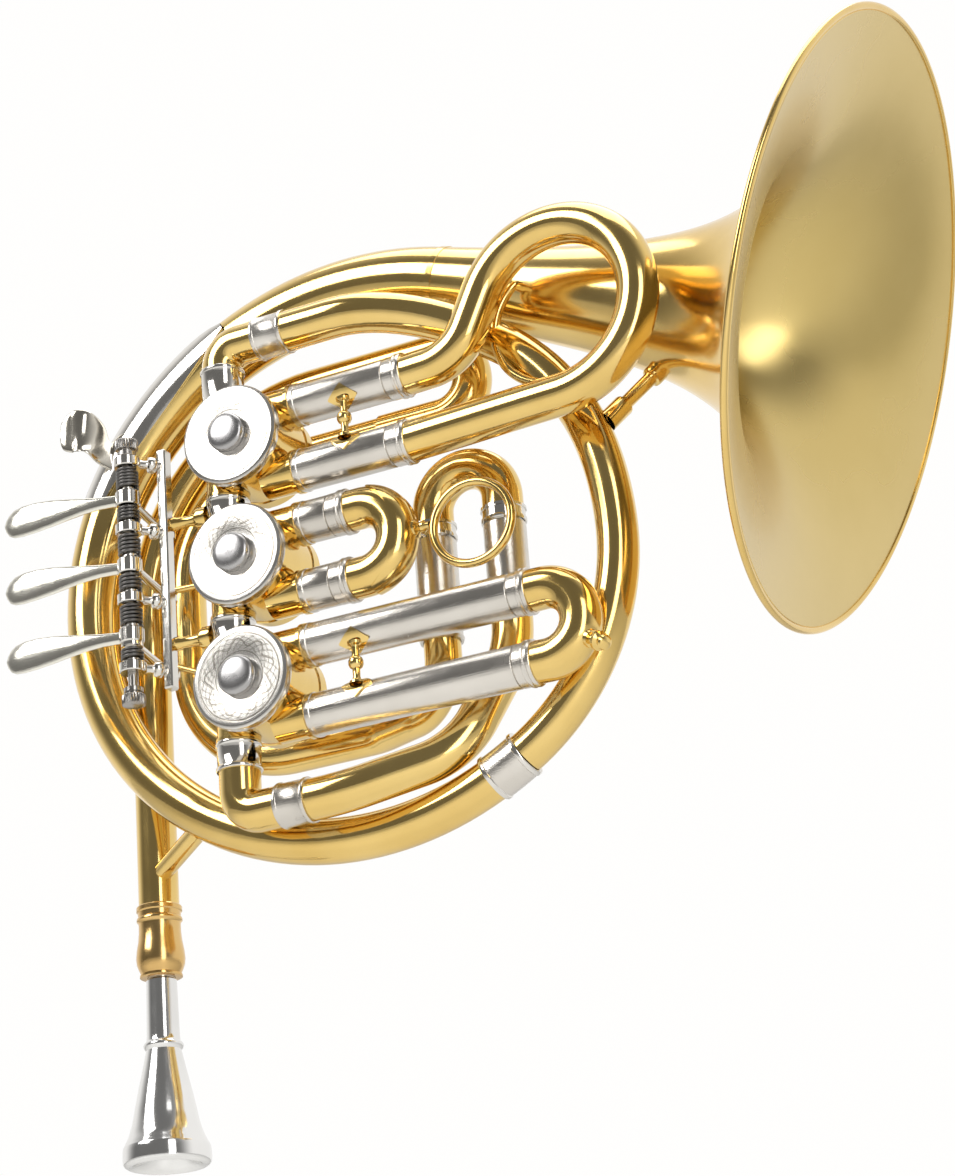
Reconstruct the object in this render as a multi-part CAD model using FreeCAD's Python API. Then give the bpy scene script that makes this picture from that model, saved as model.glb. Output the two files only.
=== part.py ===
"""Mini french horn in B flat: three rotary valves, four tuning slides, bell, leadpipe and mouthpiece.

The shapes are built in the valve frame and moved once, on export, into the part's frame.
Valve frame: origin at the middle valve cap's front face, X along the slides towards the
bell, Y from the caps to the back of the horn, Z up the valve column. Millimetres.
"""
import FreeCAD, Part
import math
import os

V = FreeCAD.Vector
X_AXIS = V(1, 0, 0)
Y_AXIS = V(0, 1, 0)
Z_AXIS = V(0, 0, 1)

# ---------------------------------------------------------------- driving dimensions
GRIP = V(-44.0, 38.5, 66.0)         # centre of the left hand's grip, the part's origin

BORE_R = 5.75                       # cylindrical bore of the instrument
TUBE_R = 6.4                        # outside of the brass tubing
LEG_IN_R = 6.2                      # inside of a fixed slide leg
LEG_OUT_R = 6.65                    # outside of a fixed slide leg
STOCKING_R = 6.15                   # outside of the moving slide leg, a running fit
BEAD_R = 7.15                       # end beads and ferrule rings
GAP = 0.35                          # clearance between separate moving pieces

VALVE_PITCH = 40.0
VALVE_Z = (VALVE_PITCH, 0.0, -VALVE_PITCH)
ROTOR_R = 12.95
CASING_BORE_R = 13.0
CASING_R = 15.2
CASING_FRONT = 3.2
CASING_BACK = 24.0
BACK_PLATE_END = 26.8
CAP_R = 16.4
BOSS_R = 6.3
BOSS_HEIGHT = 3.6
PORT_PLANE = 13.0                   # depth of the valve ports and of the slides
PORT_X = -8.6                       # line of the tubes that join the valves
SPINDLE_R = 3.0

LEG_SPREAD = 11.2                   # half distance between a slide's two legs
LEG_DROP = 1.4                      # the legs sit this far below the valve's axis
LEG_START = 17.4
SLIDE_ENDS = (50.0, 28.0, 86.0)     # where each slide's fixed legs end
SLIDE_STOPS = (56.5, 34.5, 92.0)    # where each crook's ferrules end
STOCKING_LENGTHS = (30.0, 9.0, 56.0)

LOOP_CENTRE_X = 107.3               # the round loop of the first slide
LOOP_LEAN_DEG = 4.0                 # the loop leans forward to clear the bell's throat
LOOP_LEAN_R = 20.0
LOOP_LEAN_X = 57.1
LOOP_R = 28.0
LOOP_ENTRY_DEG = 62.0
LOOP_NECK_R = 15.5
BOW_R = LEG_SPREAD

BELL_RIM = V(187.7, 46.0, 43.8)
BELL_R = 92.4
BELL_PITCH_DEG = 20.3
BELL_YAW_DEG = 2.8
BELL_LENGTH = 137.2
BELL_WALL = 0.8
FLARE_BASE_R = 6.0
FLARE_LENGTH = 30.0
FLARE_POWER = 1.544
RIM_WIRE_R = 1.3

WRAP_FIRST_R = 99.9                 # bends of the bell branch, from the bell round to its ferrule
WRAP_SECOND_R = 89.0
WRAP_THIRD_R = 103.2
WRAP_DEPTH_END = 28.0
WRAP_TAPER = (9.6, 7.5, 6.7)        # tube radius after each bend
FERRULE_HALF_DEG = 3.4
FERRULE_DROP = 0.17
RETURN_FIRST_R = 72.0
RETURN_SECOND_R = 110.0
RETURN_THIRD_R = 82.0

ROD_X = -37.0                       # lever hinge rod, along Z
ROD_R = 1.6
ROD_LOW = -39.0
ROD_HIGH = 45.0
NODE_Z = (39.5, 16.9, -6.5, -29.0)  # bracket eyes that carry the rod
LEVER_Z = (27.2, 4.4, -18.6)
LEVER_TILT_DEG = 10.0               # the rear arm leans back this far at rest
LEVER_ARM = 33.0
STOP_ARM_R = 8.1                    # rotor pin circle
PIN_SIDES = (-1, 1, 1)              # the link passes below the first rotor, above the others
LINK_Z_LEVER = (26.2, 4.4, -21.6)

STAY_X = 103.0                      # curved stay inside the loop
STAY_Z = 59.0
STAY_DEPTH = 22.5
STAY_R = 20.5
STAY_WIRE_R = 1.6
STAY_FROM_DEG = 130.0
STAY_SWEEP_DEG = 152.0

GUARD_OUT = 1.05                       # the hand guard stands this far out of the tube
HOOK_THICK = 1.3

BELL_BRACE_LOW = V(112.4, 27.3, 22.0)  # inside the return tube
BELL_BRACE_HIGH = V(131.5, 43.5, 47.0)  # inside the bell's throat

TUNING_DEPTH = 36.0
TUNING_RIGHT_X = 74.6
TUNING_LEFT_X = 50.8
TUNING_END_Z = 3.0                  # top of the fixed tuning legs
TUNING_STOP_Z = 8.6

REAR_DEPTH = 48.2
LEADPIPE_X = -60.0
LEADPIPE_R = 6.4
LEADPIPE_BORE_R = 5.6
INNER_CIRCLE_R = 5.8
INNER_CIRCLE_BORE_R = 5.0
RECEIVER_TOP_Z = -90.0
RECEIVER_END_Z = -112.5
RECEIVER_BORE_R = 4.35
MOUTHPIECE_RIM_Z = -171.5
MOUTHPIECE_RIM_R = 13.6


# ---------------------------------------------------------------- general shapes
def write(node, *solids):
    """Move one node's solids into the part's frame and write them as a STEP file."""
    shape = solids[0] if len(solids) == 1 else Part.makeCompound(list(solids))
    shape = shape.copy()
    shape.translate(GRIP * -1)
    shape.exportStep("parts/" + node + ".step")


def rod(start, end, radius):
    """Solid round rod between two points."""
    return Part.makeCylinder(radius, (end - start).Length, start, end - start)


def sleeve(start, end, outer, inner):
    """Hollow cylinder between two points."""
    return rod(start, end, outer).cut(rod(start, end, inner))


def ring_face(centre, normal, outer, inner):
    """Flat ring, the section of a tube."""
    big = Part.Wire(Part.Circle(centre, normal, outer).toShape())
    small = Part.Wire(Part.Circle(centre, normal, inner).toShape())
    return Part.makeFace([big, small], "Part::FaceMakerBullseye")


def join(pieces):
    """Fuse solids that meet face to face into one."""
    shape = pieces[0].multiFuse(pieces[1:]) if len(pieces) > 1 else pieces[0]
    return shape.removeSplitter().Solids[0]


def bent_tube(points, bends, outer, inner):
    """Tube along straight runs joined by round bends, one bend radius for each inside point."""
    pieces = []
    here = points[0]
    for i, radius in enumerate(bends):
        corner = points[i + 1]
        before = (corner - points[i]).normalize()
        after = (points[i + 2] - corner).normalize()
        turn = before.getAngle(after)
        reach = radius * math.tan(turn / 2)
        bend_start = corner - before * reach
        normal = before.cross(after).normalize()
        centre = bend_start + normal.cross(before) * radius
        if (bend_start - here).Length > 0.01:
            pieces.append(ring_face(here, before, outer, inner).extrude(bend_start - here))
        section = ring_face(bend_start, before, outer, inner)
        pieces.append(section.revolve(centre, normal, math.degrees(turn)))
        here = corner + after * reach
    if (points[-1] - here).Length > 0.01:
        pieces.append(ring_face(here, points[-1] - here, outer, inner).extrude(points[-1] - here))
    return join(pieces)


def bent_rod(points, bends, radius):
    """Solid rod along straight runs joined by round bends."""
    outer = bent_tube(points, bends, radius, radius * 0.5)
    inner = bent_path_core(points, bends, radius * 0.5)
    return outer.fuse(inner).removeSplitter().Solids[0]


def bent_path_core(points, bends, radius):
    """The inside of a bent rod."""
    pieces = []
    here = points[0]
    for i, bend in enumerate(bends):
        corner = points[i + 1]
        before = (corner - points[i]).normalize()
        after = (points[i + 2] - corner).normalize()
        turn = before.getAngle(after)
        reach = bend * math.tan(turn / 2)
        bend_start = corner - before * reach
        normal = before.cross(after).normalize()
        centre = bend_start + normal.cross(before) * bend
        pieces.append(rod(here, bend_start, radius))
        disc = Part.Face(Part.Wire(Part.Circle(bend_start, before, radius).toShape()))
        pieces.append(disc.revolve(centre, normal, math.degrees(turn)))
        here = corner + after * reach
    pieces.append(rod(here, points[-1], radius))
    return join(pieces)


def lofted_tube(stations, wall):
    """Hollow tube through circular sections; each station is (centre, tangent, outer radius)."""
    skins = []
    ends = []
    for shrink in (0.0, wall):
        wires = []
        for centre, tangent, radius in stations:
            circle = Part.Circle(centre, tangent, radius - shrink)
            side = tangent.cross(Y_AXIS).normalize()
            circle.XAxis = side
            wires.append(Part.Wire(circle.toShape()))
        skins.append(Part.makeLoft(wires, False, False))
        ends.append((wires[0], wires[-1]))
    faces = skins[0].Faces + skins[1].Faces
    for i in (0, 1):
        faces.append(Part.makeFace([ends[0][i], ends[1][i]], "Part::FaceMakerBullseye"))
    shell = Part.makeShell(faces)
    shell.sewShape()
    solid = Part.makeSolid(shell)
    if solid.Volume < 0:
        solid.reverse()
    return solid


def turned(points, centre, axis):
    """Solid of revolution from (distance along axis, radius) points, straight between them."""
    base = centre
    side = axis.cross(Y_AXIS)
    if side.Length < 0.01:
        side = axis.cross(X_AXIS)
    side.normalize()
    profile = [base + axis * s + side * r for s, r in points]
    wire = Part.makePolygon(profile + [profile[0]])
    return Part.Face(wire).revolve(centre, axis, 360)


def smooth_turned(outline, inline, centre, axis):
    """Hollow solid of revolution between two smooth outlines of (distance, radius) points."""
    side = axis.cross(Y_AXIS).normalize()
    outer = [centre + axis * s + side * r for s, r in outline]
    inner = [centre + axis * s + side * r for s, r in inline]
    out_curve = Part.BSplineCurve()
    out_curve.interpolate(outer)
    in_curve = Part.BSplineCurve()
    in_curve.interpolate(inner)
    edges = [out_curve.toShape(), in_curve.toShape()]
    edges.append(Part.LineSegment(outer[0], inner[0]).toShape())
    edges.append(Part.LineSegment(outer[-1], inner[-1]).toShape())
    wire = Part.Wire(Part.__sortEdges__(edges))
    return Part.Face(wire).revolve(centre, axis, 360)


def ringed_ferrule(start, end, outer, inner):
    """Ferrule sleeve with a raised ring at each end."""
    axis = (end - start).normalize()
    length = 1.4
    body = sleeve(start, end, outer, inner)
    low = sleeve(start, start + axis * length, outer + 0.35, inner)
    high = sleeve(end - axis * length, end, outer + 0.35, inner)
    return join([body, low, high])


# ---------------------------------------------------------------- bell and its branch
def bell_axis():
    """Direction in which the bell's mouth faces."""
    pitch = math.radians(BELL_PITCH_DEG)
    yaw = math.radians(BELL_YAW_DEG)
    return V(math.cos(pitch) * math.cos(yaw), math.sin(yaw), -math.sin(pitch) * math.cos(yaw))


def flare_radius(distance):
    """Outside radius of the bell at a distance behind its rim."""
    growth = (1 + distance / FLARE_LENGTH) ** (-FLARE_POWER)
    return FLARE_BASE_R + (BELL_R - FLARE_BASE_R) * growth


def bell_core():
    """Solid filling the throat end of the bell, to trim the stay that is soldered on it."""
    axis = bell_axis() * -1
    steps = [30.0 + 12.0 * i for i in range(9)]
    outline = [(steps[0], 0)] + [(s, flare_radius(s)) for s in steps] + [(steps[-1], 0)]
    return turned(outline, BELL_RIM, axis)


def make_bell():
    """Flare and the wire that its rim is rolled over."""
    axis = bell_axis() * -1
    steps = 16
    outer = []
    inner = []
    for i in range(steps + 1):
        distance = BELL_LENGTH * (i / steps) ** 1.7
        radius = flare_radius(distance)
        outer.append((distance, radius))
        inner.append((distance, radius - BELL_WALL * (1.4 if i < 2 else 1.0)))
    flare = smooth_turned(outer, inner, BELL_RIM, axis)
    rim = Part.makeTorus(BELL_R + 0.4, RIM_WIRE_R, BELL_RIM, axis).cut(flare)
    write("bell_flare", flare)
    write("bell_rim", rim)


def arc_stations(start, heading, radius, sweep, depth_range, radius_range, count):
    """Sections along a bend in the X-Z plane whose depth and tube radius change evenly."""
    first = math.radians(heading)
    centre_x = start[0] - radius * math.sin(first)
    centre_z = start[1] + radius * math.cos(first)
    pitch = (depth_range[1] - depth_range[0]) / (radius * math.radians(sweep))
    stations = []
    for i in range(count + 1):
        part = i / count
        angle = math.radians(heading + sweep * part)
        depth = depth_range[0] + (depth_range[1] - depth_range[0]) * part
        tube = radius_range[0] + (radius_range[1] - radius_range[0]) * part
        centre = V(centre_x + radius * math.sin(angle), depth, centre_z - radius * math.cos(angle))
        stations.append((centre, V(math.cos(angle), pitch, math.sin(angle)).normalize(), tube))
    last = stations[-1][0]
    return stations, (last.x, last.z)


def wrap_layout():
    """The three bends of the bell branch and the ferrule's place, all worked out from the bell."""
    back = BELL_RIM - bell_axis() * BELL_LENGTH
    spot = (back.x, back.z)
    heading = 180 - BELL_PITCH_DEG
    ferrule_heading = 387.0
    bends = ((WRAP_FIRST_R, 225.0), (WRAP_SECOND_R, 315.0),
             (WRAP_THIRD_R, ferrule_heading - FERRULE_HALF_DEG))
    total = ferrule_heading - heading
    tube = flare_radius(BELL_LENGTH)
    runs = []
    for (radius, stop), after in zip(bends, WRAP_TAPER):
        depths = [back.y + (WRAP_DEPTH_END - back.y) * (h - 180 + BELL_PITCH_DEG) / total
                  for h in (heading, stop)]
        run, spot = arc_stations(spot, heading, radius, stop - heading, depths, (tube, after), 12)
        runs.append(run)
        heading = stop
        tube = after
    return runs, spot, heading


def make_bell_branch():
    """The large tapering tube that sweeps round the left of the horn."""
    runs, _, _ = wrap_layout()
    for name, run in zip(("bell_branch_upper", "bell_branch_left", "bell_branch_lower"), runs):
        write(name, lofted_tube(run, 0.7))


def return_layout():
    """Sections of the ferrule and of the tube that returns from it to the first valve."""
    _, spot, heading = wrap_layout()
    ferrule, spot = arc_stations(spot, heading, WRAP_THIRD_R, 2 * FERRULE_HALF_DEG,
                                 (WRAP_DEPTH_END + FERRULE_DROP, WRAP_DEPTH_END - FERRULE_DROP),
                                 (7.2, 7.2), 4)
    heading = heading + 2 * FERRULE_HALF_DEG
    top = 180.0
    bends = ((RETURN_FIRST_R, 90.0, 27.5), (RETURN_SECOND_R, 102.0, 27.2), (RETURN_THIRD_R, top, 27.0))
    heading = heading - 360
    runs = []
    depth = WRAP_DEPTH_END - FERRULE_DROP
    for radius, stop, after in bends:
        run, spot = arc_stations(spot, heading, radius, stop - heading, (depth, after),
                                 (TUBE_R, TUBE_R), 16)
        runs.append(run)
        heading = stop
        depth = after
    runs[2] = [step_forward(station, i / 16) for i, station in enumerate(runs[2])]
    return ferrule, runs


def step_forward(station, part):
    """Bring the second half of the top tube forward to the plane of the valve ports."""
    centre, tangent, radius = station
    late = max(0.0, 2 * part - 1)
    shift = (27.0 - PORT_PLANE) * late * late * (3 - 2 * late)
    slope = (27.0 - PORT_PLANE) * 6 * late * (1 - late) / (RETURN_THIRD_R * math.radians(39.0))
    return centre - V(0, shift, 0), (tangent - V(0, slope, 0)).normalize(), radius


def make_return_tube():
    """Right-hand and top tubes; returns the elbow, ferrule and port that reach valve one."""
    ferrule, runs = return_layout()
    write("bell_branch_ferrule", lofted_tube(ferrule, 0.75))
    write("return_tube_lower", lofted_tube(runs[0][:-1] + runs[1], TUBE_R - BORE_R))
    top = runs[2][-1][0]
    ferrule_right = V(15.8, top.y, top.z)
    straight = sleeve(top, ferrule_right, TUBE_R, BORE_R)
    write("return_tube_upper", lofted_tube(runs[2], TUBE_R - BORE_R), straight)
    ferrule_left = V(5.2, top.y, top.z)
    port_top = V(PORT_X, PORT_PLANE, 68.5)
    corner = V(PORT_X, PORT_PLANE, top.z)
    elbow = bent_tube([ferrule_left, corner, port_top], [7.0], TUBE_R, BORE_R)
    port = ringed_ferrule(V(PORT_X, PORT_PLANE, VALVE_Z[0] + 16.0), port_top, 6.75, BORE_R)
    return elbow, ringed_ferrule(ferrule_right, ferrule_left, 6.75, BORE_R), port


# ---------------------------------------------------------------- hand guard and finger hook
def make_hand_guard():
    """Nickel sleeve plate soldered round the upper left of the bell branch."""
    runs, _, _ = wrap_layout()
    path = runs[0][9:] + runs[1][1:3]
    outside = lofted_tube([(c, t, r + GUARD_OUT) for c, t, r in path], 0.95)
    centre = path[len(path) // 2][0]
    inward = V(16.2 - centre.x, 0, 6.4 - centre.z).normalize()
    window = Part.makeBox(60, 60, 90, V(-30, -30, -45))
    window.Placement = FreeCAD.Placement(centre + inward * 34, FreeCAD.Rotation(X_AXIS, inward))
    write("hand_guard", outside.cut(window))


def ribbon(sections, thick):
    """Smooth strip through sections given as centre, direction across it and half width."""
    wires = []
    for i, (centre, across, half) in enumerate(sections):
        before = sections[max(i - 1, 0)][0]
        after = sections[min(i + 1, len(sections) - 1)][0]
        across = V(*across).normalize()
        normal = (after - before).cross(across).normalize() * (thick / 2)
        side = across * half
        corners = [centre + side + normal, centre + side - normal,
                   centre - side - normal, centre - side + normal]
        wires.append(Part.makePolygon(corners + corners[:1]))
    return Part.makeLoft(wires, True, False)


def make_finger_hook():
    """Sheet strip that leaves the hand guard and curls forward into the little finger's paddle."""
    runs, _, _ = wrap_layout()
    sections = ((V(-71.9, 17.0, 66.4), (0, 0, 1), 3.0), (V(-70.9, 17.0, 66.2), (0, 0, 1), 5.6),
                (V(-69.0, 17.3, 65.8), (0, 0, 1), 7.3), (V(-65.6, 18.2, 65.2), (0, 0, 1), 8.0),
                (V(-63.0, 20.8, 63.0), (-0.1, 0, 1), 7.6), (V(-61.0, 24.0, 59.0), (-0.25, 0, 1), 6.0),
                (V(-58.5, 26.5, 56.5), (-0.4, 0, 1), 5.0), (V(-55.8, 28.5, 56.0), (-0.4, 0, 1), 4.6))
    strip = ribbon(sections, HOOK_THICK)
    guarded = lofted_tube([(c, t, r + GUARD_OUT + 0.04) for c, t, r in runs[0][-3:] + runs[1][1:5]], 5.0)
    write("finger_hook", max(strip.cut(guarded).Solids, key=lambda s: s.Volume))


# ---------------------------------------------------------------- rotary valves
def at_valve(z, shape):
    """Move a shape modelled at the middle valve to another valve."""
    moved = shape.copy()
    moved.translate(V(0, 0, z))
    return moved


def casing():
    """Valve casing with its two slide ports on the right and two ports on the left."""
    depth = CASING_BACK - CASING_FRONT
    body = Part.makeCylinder(CASING_R, depth, V(0, CASING_FRONT, 0), Y_AXIS)
    bores = [Part.makeCylinder(CASING_BORE_R, depth, V(0, CASING_FRONT, 0), Y_AXIS)]
    solids = [body]
    for side in (1, -1):
        leg_z = side * LEG_SPREAD - LEG_DROP
        solids.append(rod(V(6, PORT_PLANE, leg_z), V(LEG_START, PORT_PLANE, leg_z), TUBE_R))
        bores.append(rod(V(9, PORT_PLANE, leg_z), V(LEG_START, PORT_PLANE, leg_z), BORE_R))
        port = V(PORT_X, PORT_PLANE, side * 16.0)
        solids.append(rod(V(PORT_X, PORT_PLANE, 0), port, TUBE_R))
        bores.append(rod(V(PORT_X, PORT_PLANE, 0), port, BORE_R))
    shape = solids[0].multiFuse(solids[1:])
    shape = shape.cut(bores[0].multiFuse(bores[1:]))
    return shape.removeSplitter().Solids[0]


def cap():
    """Screwed front cap with a rounded edge, a fine groove and a domed boss."""
    disc = Part.makeCylinder(CAP_R, CASING_FRONT, V(0, 0, 0), Y_AXIS)
    edges = [e for e in disc.Edges if len(e.Vertexes) == 1 and abs(e.Vertexes[0].Y) < 0.01]
    disc = disc.makeFillet(0.8, edges)
    groove = Part.makeTorus(13.6, 0.18, V(0, 0, 0), Y_AXIS)
    boss = Part.makeCylinder(BOSS_R, BOSS_HEIGHT + 0.5, V(0, -BOSS_HEIGHT, 0), Y_AXIS)
    rim = [e for e in boss.Edges if len(e.Vertexes) == 1 and e.Vertexes[0].Y < -BOSS_HEIGHT + 0.01]
    boss = boss.makeFillet(1.5, rim)
    pocket = Part.makeCylinder(SPINDLE_R + 0.05, 2.0, V(0, CASING_FRONT - 2.0, 0), Y_AXIS)
    return disc.fuse(boss).cut(groove).cut(pocket).removeSplitter().Solids[0]


def rotor():
    """Plug with two curved passages, its front journal and its rear spindle."""
    body = Part.makeCylinder(ROTOR_R, 19.0, V(0, CASING_FRONT + 0.5, 0), Y_AXIS)
    front = Part.makeCylinder(SPINDLE_R, 2.2, V(0, CASING_FRONT - 1.7, 0), Y_AXIS)
    back = Part.makeCylinder(SPINDLE_R, 8.5, V(0, CASING_FRONT + 19.4, 0), Y_AXIS)
    passage_x = ROTOR_R * math.sqrt(2)
    shape = body.fuse([front, back])
    for side in (1, -1):
        centre = V(side * passage_x, PORT_PLANE, 0)
        shape = shape.cut(Part.makeTorus(ROTOR_R, 5.0, centre, Y_AXIS))
    return shape.removeSplitter().Solids[0]


def back_plate():
    """Rear bearing plate with a raised bush."""
    disc = Part.makeCylinder(CASING_R, BACK_PLATE_END - CASING_BACK, V(0, CASING_BACK, 0), Y_AXIS)
    bush = Part.makeCylinder(5.0, 1.2, V(0, BACK_PLATE_END, 0), Y_AXIS)
    hole = Part.makeCylinder(SPINDLE_R + 0.05, 10, V(0, CASING_BACK - 1, 0), Y_AXIS)
    return disc.fuse(bush).cut(hole).removeSplitter().Solids[0]


def polar(radius, degrees, depth):
    """Point in a valve's own plane; zero degrees is +X and 90 degrees is +Z."""
    angle = math.radians(degrees)
    return V(radius * math.cos(angle), depth, radius * math.sin(angle))


ARM_FRONT = 28.6
ARM_BACK = 31.8
LINK_FRONT = 32.2
LINK_BACK = 34.4


def stop_arm(pin_side):
    """Arm clamped on the spindle: a pin for the link and a lobe that meets the stops.

    pin_side is +1 where the link passes above the valve's axis and -1 where it passes below.
    """
    pin_deg = pin_side * 135.0
    lobe_deg = -pin_side * 45.0
    hub = Part.makeCylinder(5.2, ARM_BACK - ARM_FRONT, V(0, ARM_FRONT, 0), Y_AXIS)
    pieces = [hub]
    for reach, degrees, half in ((STOP_ARM_R, pin_deg, 2.3), (11.6, lobe_deg, 2.0)):
        tip = polar(reach, degrees, ARM_FRONT)
        side = polar(half, degrees + 90, 0)
        root = V(0, ARM_FRONT, 0)
        corners = [root + side, tip + side, tip - side, root - side]
        web = Part.Face(Part.makePolygon(corners + corners[:1]))
        pieces.append(web.extrude(V(0, ARM_BACK - ARM_FRONT, 0)))
    tip = polar(STOP_ARM_R, pin_deg, ARM_FRONT)
    pieces.append(Part.makeCylinder(2.3, ARM_BACK - ARM_FRONT, tip, Y_AXIS))
    pieces.append(Part.makeCylinder(1.3, LINK_BACK + 0.6 - ARM_FRONT, tip, Y_AXIS))
    shape = pieces[0].multiFuse(pieces[1:])
    shape = shape.cut(Part.makeCylinder(SPINDLE_R, 20, V(0, ARM_FRONT - 1, 0), Y_AXIS))
    return shape.removeSplitter().Solids[0]


def stop_screw():
    """Flush slotted screw that holds the arm on the spindle."""
    head = Part.makeCylinder(SPINDLE_R - 0.02, 0.8, V(0, ARM_BACK - 0.7, 0), Y_AXIS)
    slot = Part.makeBox(9, 0.5, 0.8, V(-4.5, ARM_BACK - 0.3, -0.4))
    return head.cut(slot).Solids[0]


def stop_plate(pin_side):
    """Crescent plate that carries the two stops."""
    outer = Part.makeCylinder(12.4, 1.3, V(0, BACK_PLATE_END, 0), Y_AXIS)
    inner = Part.makeCylinder(6.4, 1.3, V(0, BACK_PLATE_END, 0), Y_AXIS)
    keep = Part.makeBox(40, 5, 20, V(-20, BACK_PLATE_END - 1, 1.0 if pin_side < 0 else -21.0))
    return outer.cut(inner).common(keep).Solids[0]


def stops(pin_side):
    """Two cork stops that end the rotor's quarter turn."""
    pair = []
    for degrees in (16.5, 163.5):
        spot = polar(9.6, -pin_side * degrees, BACK_PLATE_END + 1.3)
        pair.append(Part.makeCylinder(2.2, ARM_BACK - BACK_PLATE_END - 1.3, spot, Y_AXIS))
    return pair


def make_valves():
    """Three valves and everything on their backs; returns the tubes that join them."""
    casing_shape = casing()
    rotor_shape = rotor()
    plate = back_plate()
    cap_shape = cap()
    for i, z in enumerate(VALVE_Z):
        number = str(i + 1)
        turn = 180.0 if PIN_SIDES[i] > 0 else 0.0
        write("valve_casing_" + number, at_valve(z, casing_shape))
        write("valve_cap_" + number, at_valve(z, cap_shape))
        spun = rotor_shape.copy()
        spun.rotate(V(0, 0, 0), Y_AXIS, turn)
        write("rotor_" + number, at_valve(z, spun))
        write("stop_arm_" + number, at_valve(z, stop_arm(PIN_SIDES[i])), at_valve(z, stop_screw()))
    plates = [at_valve(z, join([plate, stop_plate(s)])) for z, s in zip(VALVE_Z, PIN_SIDES)]
    write("valve_back_plates", *plates)
    corks = [at_valve(z, cork) for z, s in zip(VALVE_Z, PIN_SIDES) for cork in stops(s)]
    write("stop_corks", *corks)
    knuckles = []
    for high, low in zip(VALVE_Z, VALVE_Z[1:]):
        start = V(PORT_X, PORT_PLANE, high - 16.0)
        end = V(PORT_X, PORT_PLANE, low + 16.0)
        knuckles.append(ringed_ferrule(start, end, 6.75, BORE_R))
    return knuckles


# ---------------------------------------------------------------- slides
def leg_heights(index):
    """Heights of a slide's upper and lower leg."""
    middle = VALVE_Z[index] - LEG_DROP
    return middle + LEG_SPREAD, middle - LEG_SPREAD


def make_slide_legs():
    """The fixed nickel legs of each slide, in pairs."""
    for i, end in enumerate(SLIDE_ENDS):
        legs = []
        for z in leg_heights(i):
            start = V(LEG_START, PORT_PLANE, z)
            stop = V(end, PORT_PLANE, z)
            inner_start = V(SLIDE_STOPS[i] - 6 - STOCKING_LENGTHS[i], PORT_PLANE, z)
            tube = rod(start, stop, LEG_OUT_R).cut(rod(start, stop, BORE_R))
            widened = rod(inner_start - V(1.2, 0, 0), stop, LEG_IN_R)
            legs.append(tube.cut(widened).Solids[0])
        write("slide_" + str(i + 1) + "_legs", *legs)


def crook_ferrules(index):
    """Nickel end ferrules of a crook, each with two fine rings."""
    parts = []
    for z in leg_heights(index):
        start = V(SLIDE_ENDS[index] + GAP, PORT_PLANE, z)
        stop = V(SLIDE_STOPS[index], PORT_PLANE, z)
        body = sleeve(start, stop, 6.75, STOCKING_R)
        for offset in (0.0, 1.7):
            ring_end = stop - V(offset, 0, 0)
            body = body.fuse(sleeve(ring_end - V(1.0, 0, 0), ring_end, BEAD_R, STOCKING_R))
        parts.append(body.removeSplitter().Solids[0])
    return parts


def stockings(index):
    """The sliding inner legs of a crook."""
    parts = []
    for z in leg_heights(index):
        stop = V(SLIDE_STOPS[index], PORT_PLANE, z)
        start = V(SLIDE_STOPS[index] - 6 - STOCKING_LENGTHS[index], PORT_PLANE, z)
        parts.append(sleeve(start, stop, STOCKING_R, BORE_R))
    return parts


def loop_crook():
    """First slide's crook: an S bend up from the top leg, round a wide loop and back."""
    upper, lower = leg_heights(0)
    entry = math.radians(LOOP_ENTRY_DEG)
    centre = V(LOOP_CENTRE_X, PORT_PLANE, lower + LOOP_R)
    across = LOOP_R - (centre.z - upper) * -math.cos(entry)
    neck_x = centre.x - across / math.sin(entry)
    corner = V(neck_x, PORT_PLANE, upper)
    along = V(math.cos(entry), 0, math.sin(entry))
    touch = centre + V(-math.sin(entry), 0, math.cos(entry)) * LOOP_R
    reach = LOOP_NECK_R * math.tan(entry / 2)
    start = V(LOOP_LEAN_X, PORT_PLANE, upper)
    neck_start = corner - V(reach, 0, 0)
    pieces = [ring_face(start, X_AXIS, TUBE_R, BORE_R).extrude(neck_start - start)]
    neck_centre = neck_start + V(0, 0, LOOP_NECK_R)
    neck = ring_face(neck_start, X_AXIS, TUBE_R, BORE_R)
    pieces.append(neck.revolve(neck_centre, V(0, -1, 0), LOOP_ENTRY_DEG))
    neck_end = corner + along * reach
    pieces.append(ring_face(neck_end, along, TUBE_R, BORE_R).extrude(touch - neck_end))
    loop = ring_face(touch, along, TUBE_R, BORE_R)
    pieces.append(loop.revolve(centre, Y_AXIS, 180 + LOOP_ENTRY_DEG))
    bottom = V(centre.x, PORT_PLANE, lower)
    end = V(LOOP_LEAN_X, PORT_PLANE, lower)
    pieces.append(ring_face(bottom, X_AXIS, TUBE_R, BORE_R).extrude(end - bottom))
    hinge = V(LOOP_LEAN_X, PORT_PLANE - LOOP_LEAN_R, 0)
    for piece in pieces:
        piece.rotate(hinge, Z_AXIS, -LOOP_LEAN_DEG)
    for z in (upper, lower):
        stop = V(SLIDE_STOPS[0], PORT_PLANE, z)
        bend = ring_face(V(LOOP_LEAN_X, PORT_PLANE, z), X_AXIS, TUBE_R, BORE_R)
        pieces.append(ring_face(stop, X_AXIS, TUBE_R, BORE_R).extrude(V(LOOP_LEAN_X - stop.x, 0, 0)))
        pieces.append(bend.revolve(hinge, Z_AXIS, -LOOP_LEAN_DEG))
    return join(pieces)


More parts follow.
